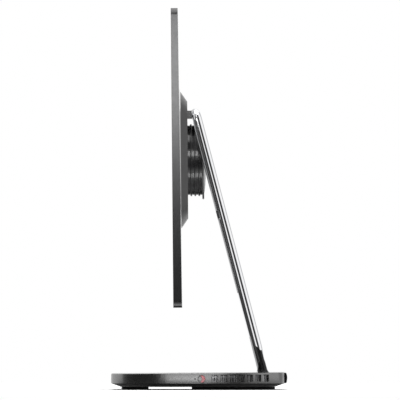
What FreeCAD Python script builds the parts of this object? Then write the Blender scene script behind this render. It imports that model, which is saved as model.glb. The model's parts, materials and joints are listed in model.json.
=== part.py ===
"""All-in-one PC: a thin display on a leaning two-legged arm, above a flat base that holds the computer.

Frame: +Z up, the display faces -Y, +X is the viewer's right. The origin is under the middle of the
base, on the surface that the feet stand on. Lengths are in millimetres and angles in degrees.
"""
import FreeCAD, Part
import Sketcher
import math
import os
import re
from types import SimpleNamespace

from FreeCAD import Placement, Rotation, Vector

DIMENSIONS = [
    # display, in its own leaning frame: depth runs back from the front of the glass
    ("display_width", 576.0),
    ("display_height", 358.2),
    ("display_corner_radius", 8.0),
    ("display_top_depth", 8.2),
    ("display_bottom_depth", 10.5),
    ("display_centre_height", 278.13),
    ("display_front_offset", 32.46),
    ("display_lean", 0.49),
    ("display_wall", 1.2),
    ("glass_depth", 1.1),
    ("cell_width", 538.0),
    ("cell_height", 306.0),
    ("cell_depth", 1.3),
    ("diffuser_depth", 0.6),
    ("light_guide_depth", 2.0),
    ("reflector_depth", 0.3),
    ("chassis_sheet", 0.6),
    ("sheet_gap", 0.1),
    ("chassis_margin", 3.0),
    ("cover_window_width", 150.0),
    ("cover_window_height", 40.0),
    ("led_strip_height", 4.0),
    ("webcam_width", 24.0),
    ("webcam_height", 7.0),
    ("webcam_depth", 3.0),
    ("webcam_rise", 166.0),
    ("webcam_lens_radius", 2.4),
    ("webcam_lens_depth", 1.8),
    ("microphone_size", 4.0),
    ("microphone_depth", 1.2),
    ("microphone_spread", 40.0),
    # rear housing and what is in it
    ("housing_width", 236.0),
    ("housing_foot_height", 177.6),
    ("housing_bevel_height", 164.2),
    ("housing_back_height", 140.4),
    ("housing_centre_drop", 0.9),
    ("housing_back_depth", 18.65),
    ("housing_flare_depth", 10.4),
    ("housing_corner_radius", 30.0),
    ("housing_wall", 1.8),
    ("driver_board_width", 120.0),
    ("driver_board_drop", 60.0),
    ("inner_part_depth", 10.6),
    ("driver_board_height", 22.0),
    ("board_thickness", 1.6),
    ("speaker_width", 30.0),
    ("speaker_height", 90.0),
    ("speaker_depth", 5.6),
    ("speaker_spread", 82.0),
    # ribbed woofer drum
    ("drum_ridge_radius", 43.7),
    ("drum_groove_depth", 1.6),
    ("drum_wall", 2.2),
    ("drum_first_groove", 2.8),
    ("drum_rib_width", 2.4),
    ("drum_rib_count", 3.0),
    ("cap_radius", 45.6),
    ("cap_rim_depth", 2.4),
    ("cap_dome", 2.4),
    ("cap_drop", 1.9),
    ("drum_seat", 0.0),
    ("woofer_cone_radius", 36.0),
    ("woofer_opening_radius", 38.0),
    ("woofer_magnet_radius", 17.0),
    ("woofer_magnet_rise", 5.0),
    ("woofer_cone_depth", 10.5),
    # arm and tilt hinge
    ("arm_lean", 14.76),
    ("arm_length", 323.3),
    ("arm_foot_back", 78.0),
    ("arm_foot_height", 20.5),
    ("arm_radius", 6.4),
    ("arm_spread", 60.0),
    ("arm_bend_radius", 8.0),
    ("arm_foot_depth", 9.5),
    ("shaft_radius", 3.0),
    ("shaft_bore_radius", 2.3),
    ("cable_radius", 1.8),
    ("cable_end", 1.0),
    ("shaft_grip", 7.0),
    ("barrel_length", 69.4),
    ("barrel_gap", 0.3),
    ("bush_radius", 4.4),
    ("bush_length", 12.0),
    ("running_clearance", 0.04),
    ("lug_width", 56.0),
    ("lug_height", 9.6),
    ("bracket_width", 110.0),
    ("bracket_height", 26.0),
    ("bracket_drop", 2.8),
    ("lug_drop", 0.7),
    ("bracket_thickness", 2.5),
    ("foot_plate_width", 152.0),
    ("foot_plate_length", 24.0),
    ("foot_plate_thickness", 3.0),
    ("foot_plate_low", 14.2),
    ("foot_screw_inner", 25.0),
    ("foot_screw_outer", 71.5),
    # base
    ("base_width", 288.0),
    ("base_front", 106.2),
    ("base_back", 103.0),
    ("front_arc_start", 36.0),
    ("front_side_radius", 85.0),
    ("rear_arc_start", 2.3),
    ("rear_side_radius", 139.0),
    ("side_arc_turn", 40.0),
    ("shell_low", 7.8),
    ("shell_front_top", 19.2),
    ("shell_rear_top", 20.8),
    ("shell_wall", 3.0),
    ("shell_top_thickness", 1.6),
    ("tray_low", 3.6),
    ("tray_inset", 12.0),
    ("tray_floor", 1.5),
    ("boss_radius", 3.6),
    ("front_boss_right", 118.0),
    ("front_boss_front", 58.0),
    ("rear_boss_right", 94.5),
    ("rear_boss_back", 81.5),
    ("vent_count", 7.0),
    ("vent_first_angle", 6.8),
    ("vent_pitch_angle", 4.6),
    ("vent_width", 8.0),
    ("vent_height", 8.4),
    ("vent_centre", 13.7),
    ("fin_thickness", 0.5),
    ("fin_pitch_angle", 0.83),
    ("fin_first_angle", 4.0),
    ("fin_count", 42.0),
    ("fin_inner_radius", 119.5),
    ("fin_step_radius", 127.5),
    ("fin_outer_radius", 135.4),
    ("port_panel_width", 172.0),
    ("port_panel_bulge", 3.2),
    ("front_foot_width", 168.0),
    ("front_foot_front", 93.7),
    ("front_foot_rear", 61.3),
    ("rear_foot_width", 34.0),
    ("rear_foot_front", 9.0),
    ("rear_foot_rear", 91.4),
    ("rear_foot_spread", 66.0),
    ("foot_corner_radius", 8.0),
    ("tray_edge_step", 0.4),
    ("drive_rise", 1.8),
    ("boss_low", 6.2),
    ("tray_screw_seat", 5.2),
    ("tray_screw_length", 8.0),
    # sockets along the back
    ("port_recess", 1.6),
    ("port_panel_step", 0.3),
    ("port_panel_sag", 1.2),
    ("port_window_width", 160.0),
    ("port_window_height", 9.8),
    ("socket_wall", 0.4),
    ("socket_floor", 2.0),
    ("socket_lip", 1.5),
    ("usb_count", 4.0),
    ("usb_first", 14.0),
    ("usb_pitch", 16.0),
    ("usb_width", 13.1),
    ("usb_height", 5.9),
    ("usb_depth", 14.0),
    ("tongue_recess", 1.8),
    ("usb_tongue_width", 11.1),
    ("usb_tongue_height", 1.8),
    ("hdmi_place", 33.0),
    ("hdmi_pitch", 19.0),
    ("hdmi_width", 14.9),
    ("hdmi_height", 5.4),
    ("hdmi_depth", 11.0),
    ("hdmi_tongue_width", 11.5),
    ("hdmi_tongue_height", 1.0),
    ("ethernet_place", 6.0),
    ("ethernet_width", 14.4),
    ("ethernet_height", 9.2),
    ("ethernet_wall", 0.9),
    ("audio_place", 75.5),
    ("audio_width", 7.0),
    ("audio_height", 6.0),
    ("audio_radius", 1.8),
    ("inlet_place", 68.0),
    ("inlet_width", 9.4),
    ("inlet_height", 9.0),
    ("inlet_radius", 3.3),
    ("inlet_pin_radius", 1.0),
    # computer inside the base
    ("board_edge_gap", 0.5),
    ("processor_back", -4.0),
    ("memory_place", 56.0),
    ("memory_first", 18.0),
    ("memory_pitch", 32.0),
    ("pipe_start", 20.0),
    ("pipe_corner_radius", 10.3),
    ("fin_low", 9.3),
    ("fin_high", 17.6),
    ("duct_inner_radius", 85.0),
    ("duct_first_angle", 5.0),
    ("inlet_eye_radius", 19.0),
    ("stator_radius", 9.0),
    ("stator_height", 2.6),
    ("impeller_gap", 0.5),
    ("hard_drive_place", 49.0),
    ("drive_front", 63.2),
    ("solid_drive_place", 52.0),
    ("solid_drive_front", 86.0),
    ("wireless_front", 52.0),
    ("ballast_front", 68.0),
    ("ballast_low", 14.0),
    ("board_low", 7.6),
    ("board_left", 90.5),
    ("board_right", 44.0),
    ("board_front", 28.0),
    ("board_back", 101.0),
    ("board_strip_front", 84.5),
    ("board_strip_right", 85.0),
    ("processor_size", 36.0),
    ("processor_height", 2.0),
    ("cold_plate_size", 44.0),
    ("cold_plate_height", 2.9),
    ("pipe_width", 7.0),
    ("pipe_height", 2.8),
    ("pipe_low", 14.3),
    ("memory_width", 67.6),
    ("memory_length", 30.0),
    ("memory_height", 3.8),
    ("hard_drive_width", 100.0),
    ("hard_drive_length", 69.8),
    ("hard_drive_height", 7.0),
    ("solid_drive_width", 80.0),
    ("solid_drive_length", 22.0),
    ("solid_drive_height", 3.2),
    ("wireless_width", 30.0),
    ("wireless_length", 26.8),
    ("wireless_height", 3.0),
    ("ballast_width", 168.0),
    ("ballast_length", 54.0),
    ("ballast_height", 3.4),
    ("blower_centre_right", 78.0),
    ("blower_centre_back", 34.0),
    ("blower_radius", 30.0),
    ("blower_low", 5.6),
    ("blower_high", 17.0),
    ("blower_wall", 0.8),
    ("impeller_radius", 25.5),
    ("hub_radius", 11.0),
    ("blade_count", 13.0),
    ("blade_root", 1.0),
    ("blade_thickness", 1.0),
    ("spindle_radius", 1.5),
    # power button on the right side
    ("button_offset", 2.9),
    ("button_height", 13.4),
    ("button_radius", 4.4),
    ("button_hole_radius", 4.8),
    ("button_gap", 0.2),
    ("button_travel", 0.8),
    ("button_depth", 2.6),
    ("button_disc_radius", 2.2),
    ("button_disc_shift", 1.7),
    ("crescent_radius", 4.4),
    ("crescent_shift", 3.7),
    ("inlay_depth", 0.5),
    ("inlay_rim", 0.2),
    ("button_stem_radius", 2.0),
    ("button_stem_length", 5.0),
    ("switch_depth", 3.5),
    ("switch_size", 6.0),
    ("switch_board_thickness", 1.2),
    ("switch_board_front", 10.0),
    ("switch_board_back", 8.0),
    ("switch_board_height", 8.0),
    ("switch_post_length", 2.5),
    ("status_light_offset", 5.0),
    ("status_light_radius", 0.9),
    ("screw_length", 4.4),
    ("screw_inset", 5.0),
    ("screw_radius", 1.5),
    ("screw_head_radius", 2.8),
    ("screw_head_height", 1.4),
]

doc = FreeCAD.newDocument("AllInOnePc")
sheet = doc.addObject("Spreadsheet::Sheet", "Sizes")
for row, (alias, number) in enumerate(DIMENSIONS, start=1):
    sheet.set(f"A{row}", alias)
    sheet.set(f"B{row}", str(number))
    sheet.setAlias(f"B{row}", alias)
doc.recompute()
s = SimpleNamespace(**{alias: float(sheet.get(alias)) for alias, number in DIMENSIONS})

WORLD = Placement()
ACROSS = Vector(1, 0, 0)
BACK = Vector(0, 1, 0)
UP = Vector(0, 0, 1)
DISPLAY = Placement(Vector(0, -s.display_front_offset, s.display_centre_height),
                    Rotation(ACROSS, s.display_lean))
# How far a cutting shape runs past the face that it opens.
BEYOND = 1.0
NODES = []


# ---------------------------------------------------------------- shared makers

def formula(text):
    """The expression for a size, with each alias read from the sheet."""
    return re.sub(r"[a-z_]+", lambda match: "Sizes." + match.group(0), text)


def keep(obj, label):
    """Marks an object as one sub-part, under its own label."""
    obj.Label = label
    NODES.append(obj)
    return obj


def box(name, sizes, centre, frame=WORLD):
    """A box with its three sizes bound to the sheet, centred on a point of the frame."""
    obj = doc.addObject("Part::Box", name)
    for side, size in zip(("Length", "Width", "Height"), sizes):
        obj.setExpression(side, formula(size))
    obj.recompute()
    half = Vector(obj.Length.Value, obj.Width.Value, obj.Height.Value) / 2
    obj.Placement = frame * Placement(Vector(centre) - half, Rotation())
    return obj


def rod(name, radius, length, start, axis=UP, frame=WORLD):
    """A cylinder with its radius and length bound to the sheet, from a start point along an axis."""
    obj = doc.addObject("Part::Cylinder", name)
    obj.setExpression("Radius", formula(radius))
    obj.setExpression("Height", formula(length))
    obj.Placement = frame * Placement(Vector(start), Rotation(UP, axis))
    return obj


def joined(name, parts):
    obj = doc.addObject("Part::MultiFuse", name)
    obj.Shapes = parts
    return obj


def trimmed(name, base, tool):
    obj = doc.addObject("Part::Cut", name)
    obj.Base = base
    obj.Tool = tool
    return obj


def grouped(name, parts):
    """Separate solids that share one node."""
    obj = doc.addObject("Part::Compound", name)
    obj.Links = parts
    return obj


def formed(name, shape, frame=WORLD):
    """A sub-part whose shape is worked out from the sheet below."""
    obj = doc.addObject("Part::Feature", name)
    obj.Shape = shape
    obj.Placement = frame
    return obj


def new_body(name, frame=WORLD):
    body = doc.addObject("PartDesign::Body", name)
    body.Placement = frame
    return body


def new_sketch(body, plane, name):
    sketch = body.newObject("Sketcher::SketchObject", name)
    support = next(item for item in body.Origin.OriginFeatures if item.Role == plane)
    sketch.AttachmentSupport = (support, [""])
    sketch.MapMode = "FlatFace"
    return sketch


def rounded_rectangle(width, height, radius, centre_x=0.0, centre_y=0.0, level=0.0):
    """A closed wire in a plane of constant level, with four equal round corners."""
    wire_edges = []
    half_x = width / 2 - radius
    half_y = height / 2 - radius
    corners = [(half_x, half_y, 0), (-half_x, half_y, 90), (-half_x, -half_y, 180), (half_x, -half_y, 270)]
    for place_x, place_y, turn in corners:
        centre = Vector(centre_x + place_x, centre_y + place_y, level)
        wire_edges.append(arc(centre, radius, turn, turn + 90))
    return closed_wire(wire_edges)


def polar(centre, radius, angle):
    turn = math.radians(angle)
    return centre + Vector(radius * math.cos(turn), radius * math.sin(turn), 0)


def arc(centre, radius, start, end):
    points = [polar(centre, radius, angle) for angle in (start, (start + end) / 2, end)]
    return Part.Arc(*points).toShape()


def closed_wire(arcs):
    """Joins arcs, in order, with straight edges where their ends don't already meet."""
    edges = []
    for index, edge in enumerate(arcs):
        following = arcs[(index + 1) % len(arcs)]
        edges.append(edge)
        end = edge.valueAt(edge.LastParameter)
        start = following.valueAt(following.FirstParameter)
        if end.distanceToPoint(start) > 1e-6:
            edges.append(Part.makeLine(end, start))
    return Part.Wire(edges)


def slab(wire, height):
    return Part.Face(wire).extrude(Vector(0, 0, height))


def ring_sector(centre, inner, outer, start, end, low, height):
    """Part of a flat ring, seen from above, between two angles."""
    level = Vector(centre.x, centre.y, low)
    outside = arc(level, outer, start, end)
    inside = arc(level, inner, end, start)
    return slab(closed_wire([outside, inside]), height)


def turned(profile):
    """The solid that a closed profile of (radius, height) points and arcs sweeps about the Z axis."""
    edges = []
    for index, point in enumerate(profile):
        following = profile[(index + 1) % len(profile)]
        start = Vector(point[0], 0, point[1])
        end = Vector(following[0], 0, following[1])
        if len(point) == 4:
            edges.append(Part.Arc(start, Vector(point[2], 0, point[3]), end).toShape())
        else:
            edges.append(Part.makeLine(start, end))
    return Part.Face(Part.Wire(edges)).revolve(Vector(), UP, 360)


def bound_rounded_rectangle(sketch, width, height, radius):
    """Fills a sketch with a rounded rectangle about its origin, bound to the sheet."""
    half_x = 30.0
    half_y = 20.0
    round_by = 5.0
    flat = Vector(0, 0, 1)
    ends = [
        (Vector(-half_x + round_by, half_y, 0), Vector(half_x - round_by, half_y, 0)),
        (Vector(half_x, half_y - round_by, 0), Vector(half_x, -half_y + round_by, 0)),
        (Vector(half_x - round_by, -half_y, 0), Vector(-half_x + round_by, -half_y, 0)),
        (Vector(-half_x, -half_y + round_by, 0), Vector(-half_x, half_y - round_by, 0)),
    ]
    sides = [sketch.addGeometry(Part.LineSegment(start, end)) for start, end in ends]
    centres = [(half_x - round_by, half_y - round_by, 0), (half_x - round_by, -half_y + round_by, 270),
               (-half_x + round_by, -half_y + round_by, 180), (-half_x + round_by, half_y - round_by, 90)]
    for index, (centre_x, centre_y, start) in enumerate(centres):
        circle = Part.Circle(Vector(centre_x, centre_y, 0), flat, round_by)
        turn = math.radians(start)
        corner = sketch.addGeometry(Part.ArcOfCircle(circle, turn, turn + math.pi / 2))
        following = sides[(index + 1) % len(sides)]
        sketch.addConstraint(Sketcher.Constraint("Tangent", sides[index], 2, corner, 2))
        sketch.addConstraint(Sketcher.Constraint("Tangent", corner, 1, following, 1))
        bound = sketch.addConstraint(Sketcher.Constraint("Radius", corner, round_by))
        sketch.setExpression(f"Constraints[{bound}]", formula(radius))
    for index in (0, 2):
        sketch.addConstraint(Sketcher.Constraint("Horizontal", sides[index]))
    for index in (1, 3):
        sketch.addConstraint(Sketcher.Constraint("Vertical", sides[index]))
    limits = [
        (Sketcher.Constraint("DistanceY", -1, 1, sides[0], 1, half_y), f"({height}) / 2"),
        (Sketcher.Constraint("DistanceX", -1, 1, sides[1], 1, half_x), f"({width}) / 2"),
        (Sketcher.Constraint("DistanceY", sides[2], 1, -1, 1, half_y), f"({height}) / 2"),
        (Sketcher.Constraint("DistanceX", sides[3], 1, -1, 1, half_x), f"({width}) / 2"),
    ]
    for constraint, value in limits:
        bound = sketch.addConstraint(constraint)
        sketch.setExpression(f"Constraints[{bound}]", formula(value))


def rounded_plate(name, sizes, radius, centre, frame=WORLD):
    """A plate with round corners: width, height and thickness, in the plane of the frame's X and Y."""
    width, height, thickness = sizes
    body = new_body(name, frame * Placement(Vector(centre), Rotation()))
    sketch = new_sketch(body, "XY_Plane", name + "_outline")
    bound_rounded_rectangle(sketch, width, height, radius)
    pad = body.newObject("PartDesign::Pad", name + "_pad")
    pad.Profile = sketch
    pad.setExpression("Length", formula(thickness))
    return body


# ---------------------------------------------------------------- display

# The display's pieces are drawn in this frame: X across, Y down the screen, Z back through it.
SCREEN = DISPLAY * Placement(Vector(), Rotation(ACROSS, -90))
TAPER = (s.display_bottom_depth - s.display_top_depth) / s.display_height


def tilt_axis():
    """The middle of the arm's crossbar, which is on the tilt axis."""
    lean = math.radians(s.arm_lean)
    return Vector(0, s.arm_foot_back - s.arm_length * math.sin(lean),
                  s.arm_foot_height + s.arm_length * math.cos(lean))


AXIS_ON_SCREEN = SCREEN.inverse().multVec(tilt_axis())


def display_form(inset, front):
    """The display's wedge, deeper at its bottom edge, or its hollow when it is drawn inset."""
    wire = rounded_rectangle(s.display_width - 2 * inset, s.display_height - 2 * inset,
                             s.display_corner_radius - inset, level=front)
    block = slab(wire, s.display_bottom_depth - front)
    beyond = Part.makeBox(2 * s.display_width, 2 * s.display_height, s.display_bottom_depth,
                          Vector(-s.display_width, -s.display_height, 0))
    middle = (s.display_bottom_depth + s.display_top_depth) / 2 - inset
    beyond.Placement = Placement(Vector(0, 0, middle), Rotation(ACROSS, math.degrees(math.atan(TAPER))))
    return block.cut(beyond)


def housing_form(inset, front):
    """The rear housing's bevelled block, or its hollow: a short flare, then the bevel to a flat back."""
    bevel_step = s.housing_foot_height - s.housing_bevel_height
    back_step = s.housing_foot_height - s.housing_back_height
    sections = [(0.0, front), (bevel_step, s.housing_flare_depth - inset / 2),
                (back_step, s.housing_back_depth - inset)]
    wires = []
    for step, depth in sections:
        shrink = step + 2 * inset
        wires.append(rounded_rectangle(s.housing_width - shrink, s.housing_foot_height - shrink,
                                       s.housing_corner_radius - shrink / 4,
                                       centre_y=s.housing_centre_drop, level=depth))
    return Part.makeLoft(wires, True, True)


def make_screen_stack():
    """The glass and the sheets behind it, each a small gap from the next."""
    depth = 0.0
    glass_margin = "2 * display_wall - 2 * sheet_gap"
    glass_sizes = (f"display_width - {glass_margin}", f"display_height - {glass_margin}", "glass_depth")
    glass = rounded_plate("CoverGlass", glass_sizes, "display_corner_radius - display_wall - sheet_gap",
                          (0, 0, depth), SCREEN)
    keep(glass, "cover_glass")
    depth += s.glass_depth + s.sheet_gap
    guide_height = "cell_height - led_strip_height - sheet_gap"
    layers = [
        ("lcd_cell", "cell_height", "cell_depth", s.cell_depth, 0.0),
        ("diffuser_sheet", "cell_height", "diffuser_depth", s.diffuser_depth, 0.0),
        ("light_guide", guide_height, "light_guide_depth", s.light_guide_depth,
         -(s.led_strip_height + s.sheet_gap) / 2),
        ("backlight_reflector", "cell_height", "reflector_depth", s.reflector_depth, 0.0),
    ]
    for label, height, thickness, step, drop in layers:
        keep(box(label + "_sheet", ("cell_width", height, thickness), (0, drop, depth + step / 2), SCREEN),
             label)
        if label == "light_guide":
            strip_drop = (s.cell_height - s.led_strip_height) / 2
            strip = box("LedStrip", ("cell_width", "led_strip_height", thickness),
                        (0, strip_drop, depth + step / 2), SCREEN)
            keep(strip, "led_strip")
        depth += step + s.sheet_gap
    return depth


def make_chassis(back_depth):
    """A folded steel tray round the sheets, open at the front."""
    front = s.glass_depth + s.sheet_gap
    tray_depth = back_depth + s.chassis_sheet - front
    width = s.cell_width + 2 * s.chassis_margin
    height = s.cell_height + 2 * s.chassis_margin
    outside = Part.makeBox(width, height, tray_depth, Vector(-width / 2, -height / 2, front))
    inner_width = width - 2 * s.chassis_sheet
    inner_height = height - 2 * s.chassis_sheet
    inside = Part.makeBox(inner_width, inner_height, back_depth - front,
                          Vector(-inner_width / 2, -inner_height / 2, front))
    keep(formed("PanelChassis", outside.cut(inside), SCREEN), "panel_chassis")


def make_webcam():
    front = s.glass_depth + s.sheet_gap
    centre = (0, -s.webcam_rise, front + s.webcam_depth / 2)
    module = box("WebcamBox", ("webcam_width", "webcam_height", "webcam_depth"), centre, SCREEN)
    opening = rod("WebcamOpening", "webcam_lens_radius", "webcam_depth", (0, -s.webcam_rise, front),
                  UP, SCREEN)
    lens = rod("WebcamLens", "webcam_lens_radius", "webcam_lens_depth", (0, -s.webcam_rise, front),
               UP, SCREEN)
    keep(trimmed("WebcamModule", module, opening), "webcam_module")
    keep(lens, "webcam_lens")
    pair = []
    for side in (-1, 1):
        place = (side * s.microphone_spread, -s.webcam_rise, front + s.microphone_depth / 2)
        sizes = ("microphone_size", "microphone_size", "microphone_depth")
        pair.append(box(f"Microphone{side + 1}", sizes, place, SCREEN))
    keep(grouped("Microphones", pair), "microphones")


def make_rear_cover():
    """The aluminium back and side walls, with a window behind the rear housing."""
    shell = display_form(0.0, 0.0).cut(display_form(s.display_wall, -BEYOND))
    window = Part.makeBox(s.cover_window_width, s.cover_window_height, s.display_bottom_depth,
                          Vector(-s.cover_window_width / 2, -s.cover_window_height / 2, 0))
    keep(formed("DisplayRearCover", shell.cut(window), SCREEN), "display_rear_cover")


def screw_shape(place, outward):
    """A pan-head screw: its head's seat is at the place, and its shank runs against outward."""
    shank = Part.makeCylinder(s.screw_radius, s.screw_length, place, outward * -1)
    head = Part.makeCylinder(s.screw_head_radius, s.screw_head_height, place, outward)
    return shank.fuse(head)


def make_rear_housing():
    """The bevelled housing, the hinge bracket that comes out of it, and what it holds."""
    inner_back = s.housing_back_depth - s.housing_wall
    hollow = housing_form(s.housing_wall, s.display_top_depth - BEYOND)
    shell = housing_form(0.0, s.display_top_depth).cut(hollow).cut(display_form(0.0, -BEYOND))
    drum_centre = Vector(0, s.housing_centre_drop, 0)
    speaker_hole = Part.makeCylinder(s.woofer_opening_radius, 2 * s.housing_back_depth, drum_centre, UP)
    lug_centre = AXIS_ON_SCREEN.y + s.lug_drop
    lug_low = inner_back - s.bracket_thickness
    lug = Part.makeBox(s.lug_width, s.lug_height, AXIS_ON_SCREEN.z - lug_low,
                       Vector(-s.lug_width / 2, lug_centre - s.lug_height / 2, lug_low))
    plate = Part.makeBox(s.bracket_width, s.bracket_height, s.bracket_thickness,
                         Vector(-s.bracket_width / 2,
                                AXIS_ON_SCREEN.y + s.bracket_drop - s.bracket_height / 2, lug_low))
    barrel_start = Vector(-s.barrel_length / 2, AXIS_ON_SCREEN.y, AXIS_ON_SCREEN.z)
    barrel = Part.makeCylinder(s.arm_radius, s.barrel_length, barrel_start, ACROSS)
    bore = Part.makeCylinder(s.bush_radius, s.barrel_length, barrel_start, ACROSS)
    screws = []
    for side in (-1, 1):
        for rise in (-1, 1):
            place = Vector(side * (s.bracket_width / 2 - s.screw_inset),
                           AXIS_ON_SCREEN.y + s.bracket_drop + rise * (s.bracket_height / 2 - s.screw_inset),
                           lug_low)
            screws.append(screw_shape(place, UP * -1))
    screws = Part.makeCompound(screws)
    bracket = plate.fuse([lug, barrel]).cut(bore).cut(screws).removeSplitter()
    shell = shell.cut(speaker_hole).cut(lug).cut(screws)
    keep(formed("RearHousing", shell, SCREEN), "rear_housing")
    keep(formed("HingeBracket", bracket, SCREEN), "hinge_bracket")
    keep(formed("BracketScrews", screws, SCREEN), "bracket_screws")


def make_hinge_bushes():
    pair = []
    for side in (-1, 1):
        start = AXIS_ON_SCREEN + ACROSS * (side * s.barrel_length / 2)
        inward = ACROSS * -side
        sleeve = rod(f"BushSleeve{side + 1}", "bush_radius", "bush_length", start, inward, SCREEN)
        opening = rod(f"BushBore{side + 1}", "shaft_radius + running_clearance", "bush_length", start,
                      inward, SCREEN)
        pair.append(trimmed(f"Bush{side + 1}", sleeve, opening))
    keep(grouped("HingeBushes", pair), "hinge_bushes")


def make_housing_parts():
    board_depth = s.inner_part_depth + s.board_thickness / 2
    board_sizes = ("driver_board_width", "driver_board_height", "board_thickness")
    keep(box("DriverBoard", board_sizes, (0, s.driver_board_drop, board_depth), SCREEN),
         "display_driver_board")
    speakers = []
    for side in (-1, 1):
        place = (side * s.speaker_spread, s.housing_centre_drop, s.inner_part_depth + s.speaker_depth / 2)
        sizes = ("speaker_width", "speaker_height", "speaker_depth")
        speakers.append(box(f"Speaker{side + 1}", sizes, place, SCREEN))
    keep(grouped("Speakers", speakers), "speakers")


def bound_rectangle(sketch, left, right, low, high):
    """Fills a sketch with a rectangle whose four sides are bound to the sheet."""
    near = 10.0
    far = 12.0
    foot = 1.0
    top = 3.0
    corners = [Vector(near, foot, 0), Vector(far, foot, 0), Vector(far, top, 0), Vector(near, top, 0)]
    sides = []
    for index, corner in enumerate(corners):
        sides.append(sketch.addGeometry(Part.LineSegment(corner, corners[(index + 1) % 4])))
    for index in range(4):
        sketch.addConstraint(Sketcher.Constraint("Coincident", sides[index], 2, sides[(index + 1) % 4], 1))
        direction = "Horizontal" if index % 2 == 0 else "Vertical"
        sketch.addConstraint(Sketcher.Constraint(direction, sides[index]))
    limits = [("DistanceX", 0, left, near), ("DistanceX", 2, right, far),
              ("DistanceY", 0, low, foot), ("DistanceY", 2, high, top)]
    for kind, corner, value, start in limits:
        bound = sketch.addConstraint(Sketcher.Constraint(kind, -1, 1, sides[corner], 1, start))
        sketch.setExpression(f"Constraints[{bound}]", formula(value))


def make_woofer():
    """The ribbed drum on the housing's back, its driver, and the dished cap that closes it."""
    foot = Vector(0, s.housing_centre_drop, s.housing_back_depth)
    groove_radius = "drum_ridge_radius - drum_groove_depth"
    drum_length = "drum_first_groove + 2 * drum_rib_count * drum_rib_width"
    body = new_body("WooferDrum", SCREEN * Placement(foot, Rotation()))
    tube_sketch = new_sketch(body, "XZ_Plane", "DrumTubeSection")
    bound_rectangle(tube_sketch, f"{groove_radius} - drum_wall", groove_radius, "drum_seat", drum_length)
    tube = body.newObject("PartDesign::Revolution", "DrumTube")
    tube.Profile = tube_sketch
    tube.ReferenceAxis = (tube_sketch, ["V_Axis"])
    rib_sketch = new_sketch(body, "XZ_Plane", "DrumRibSection")
    bound_rectangle(rib_sketch, f"{groove_radius} - drum_wall / 2", "drum_ridge_radius",
                    "drum_first_groove", "drum_first_groove + drum_rib_width")
    rib = body.newObject("PartDesign::Revolution", "DrumRib")
    rib.Profile = rib_sketch
    rib.ReferenceAxis = (rib_sketch, ["V_Axis"])
    doc.recompute()
    ribs = body.newObject("PartDesign::LinearPattern", "DrumRibs")
    ribs.Originals = [rib]
    ribs.Direction = (rib_sketch, ["V_Axis"])
    ribs.Occurrences = int(s.drum_rib_count)
    ribs.setExpression("Length", formula("2 * drum_rib_width * (drum_rib_count - 1)"))
    body.Tip = ribs
    keep(body, "woofer_drum")

    length = s.drum_first_groove + 2 * s.drum_rib_count * s.drum_rib_width
    centre = s.cap_dome + s.cap_rim_depth
    edge = s.cap_radius - s.cap_rim_depth / 2
    middle = edge / 2
    dome_radius = (edge ** 2 + s.cap_dome ** 2) / (2 * s.cap_dome)
    bulge = centre - dome_radius + math.sqrt(dome_radius ** 2 - middle ** 2)
    recess = s.cap_radius - s.drum_wall - 2 * s.cap_rim_depth
    cap = turned([(0.0, s.cap_rim_depth / 2), (recess, s.cap_rim_depth / 2), (recess, 0.0),
                  (edge, 0.0, s.cap_radius, s.cap_rim_depth / 2), (edge, s.cap_rim_depth, middle, bulge),
                  (0.0, centre)])
    keep(formed("DrumCap", cap, SCREEN * Placement(foot + Vector(0, s.cap_drop, length), Rotation())),
         "drum_cap")

    magnet_length = s.housing_back_depth - s.inner_part_depth + s.woofer_magnet_rise
    magnet = rod("WooferMagnet", "woofer_magnet_radius",
                 "housing_back_depth - inner_part_depth + woofer_magnet_rise",
                 (0, s.housing_centre_drop, s.inner_part_depth), UP, SCREEN)
    basket = doc.addObject("Part::Cone", "WooferBasket")
    basket.setExpression("Radius1", formula("woofer_magnet_radius"))
    basket.setExpression("Radius2", formula("woofer_cone_radius"))
    basket.setExpression("Height", formula("woofer_cone_depth"))
    basket.Placement = SCREEN * Placement(
        Vector(0, s.housing_centre_drop, s.inner_part_depth + magnet_length), Rotation())
    keep(joined("WooferDriver", [magnet, basket]), "woofer_driver")


# ---------------------------------------------------------------- arm

# The arm's pieces are drawn in its leaning plane: X across, Z up the legs from the base's top.
ARM = Placement(Vector(0, s.arm_foot_back, s.arm_foot_height), Rotation(ACROSS, s.arm_lean))


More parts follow.
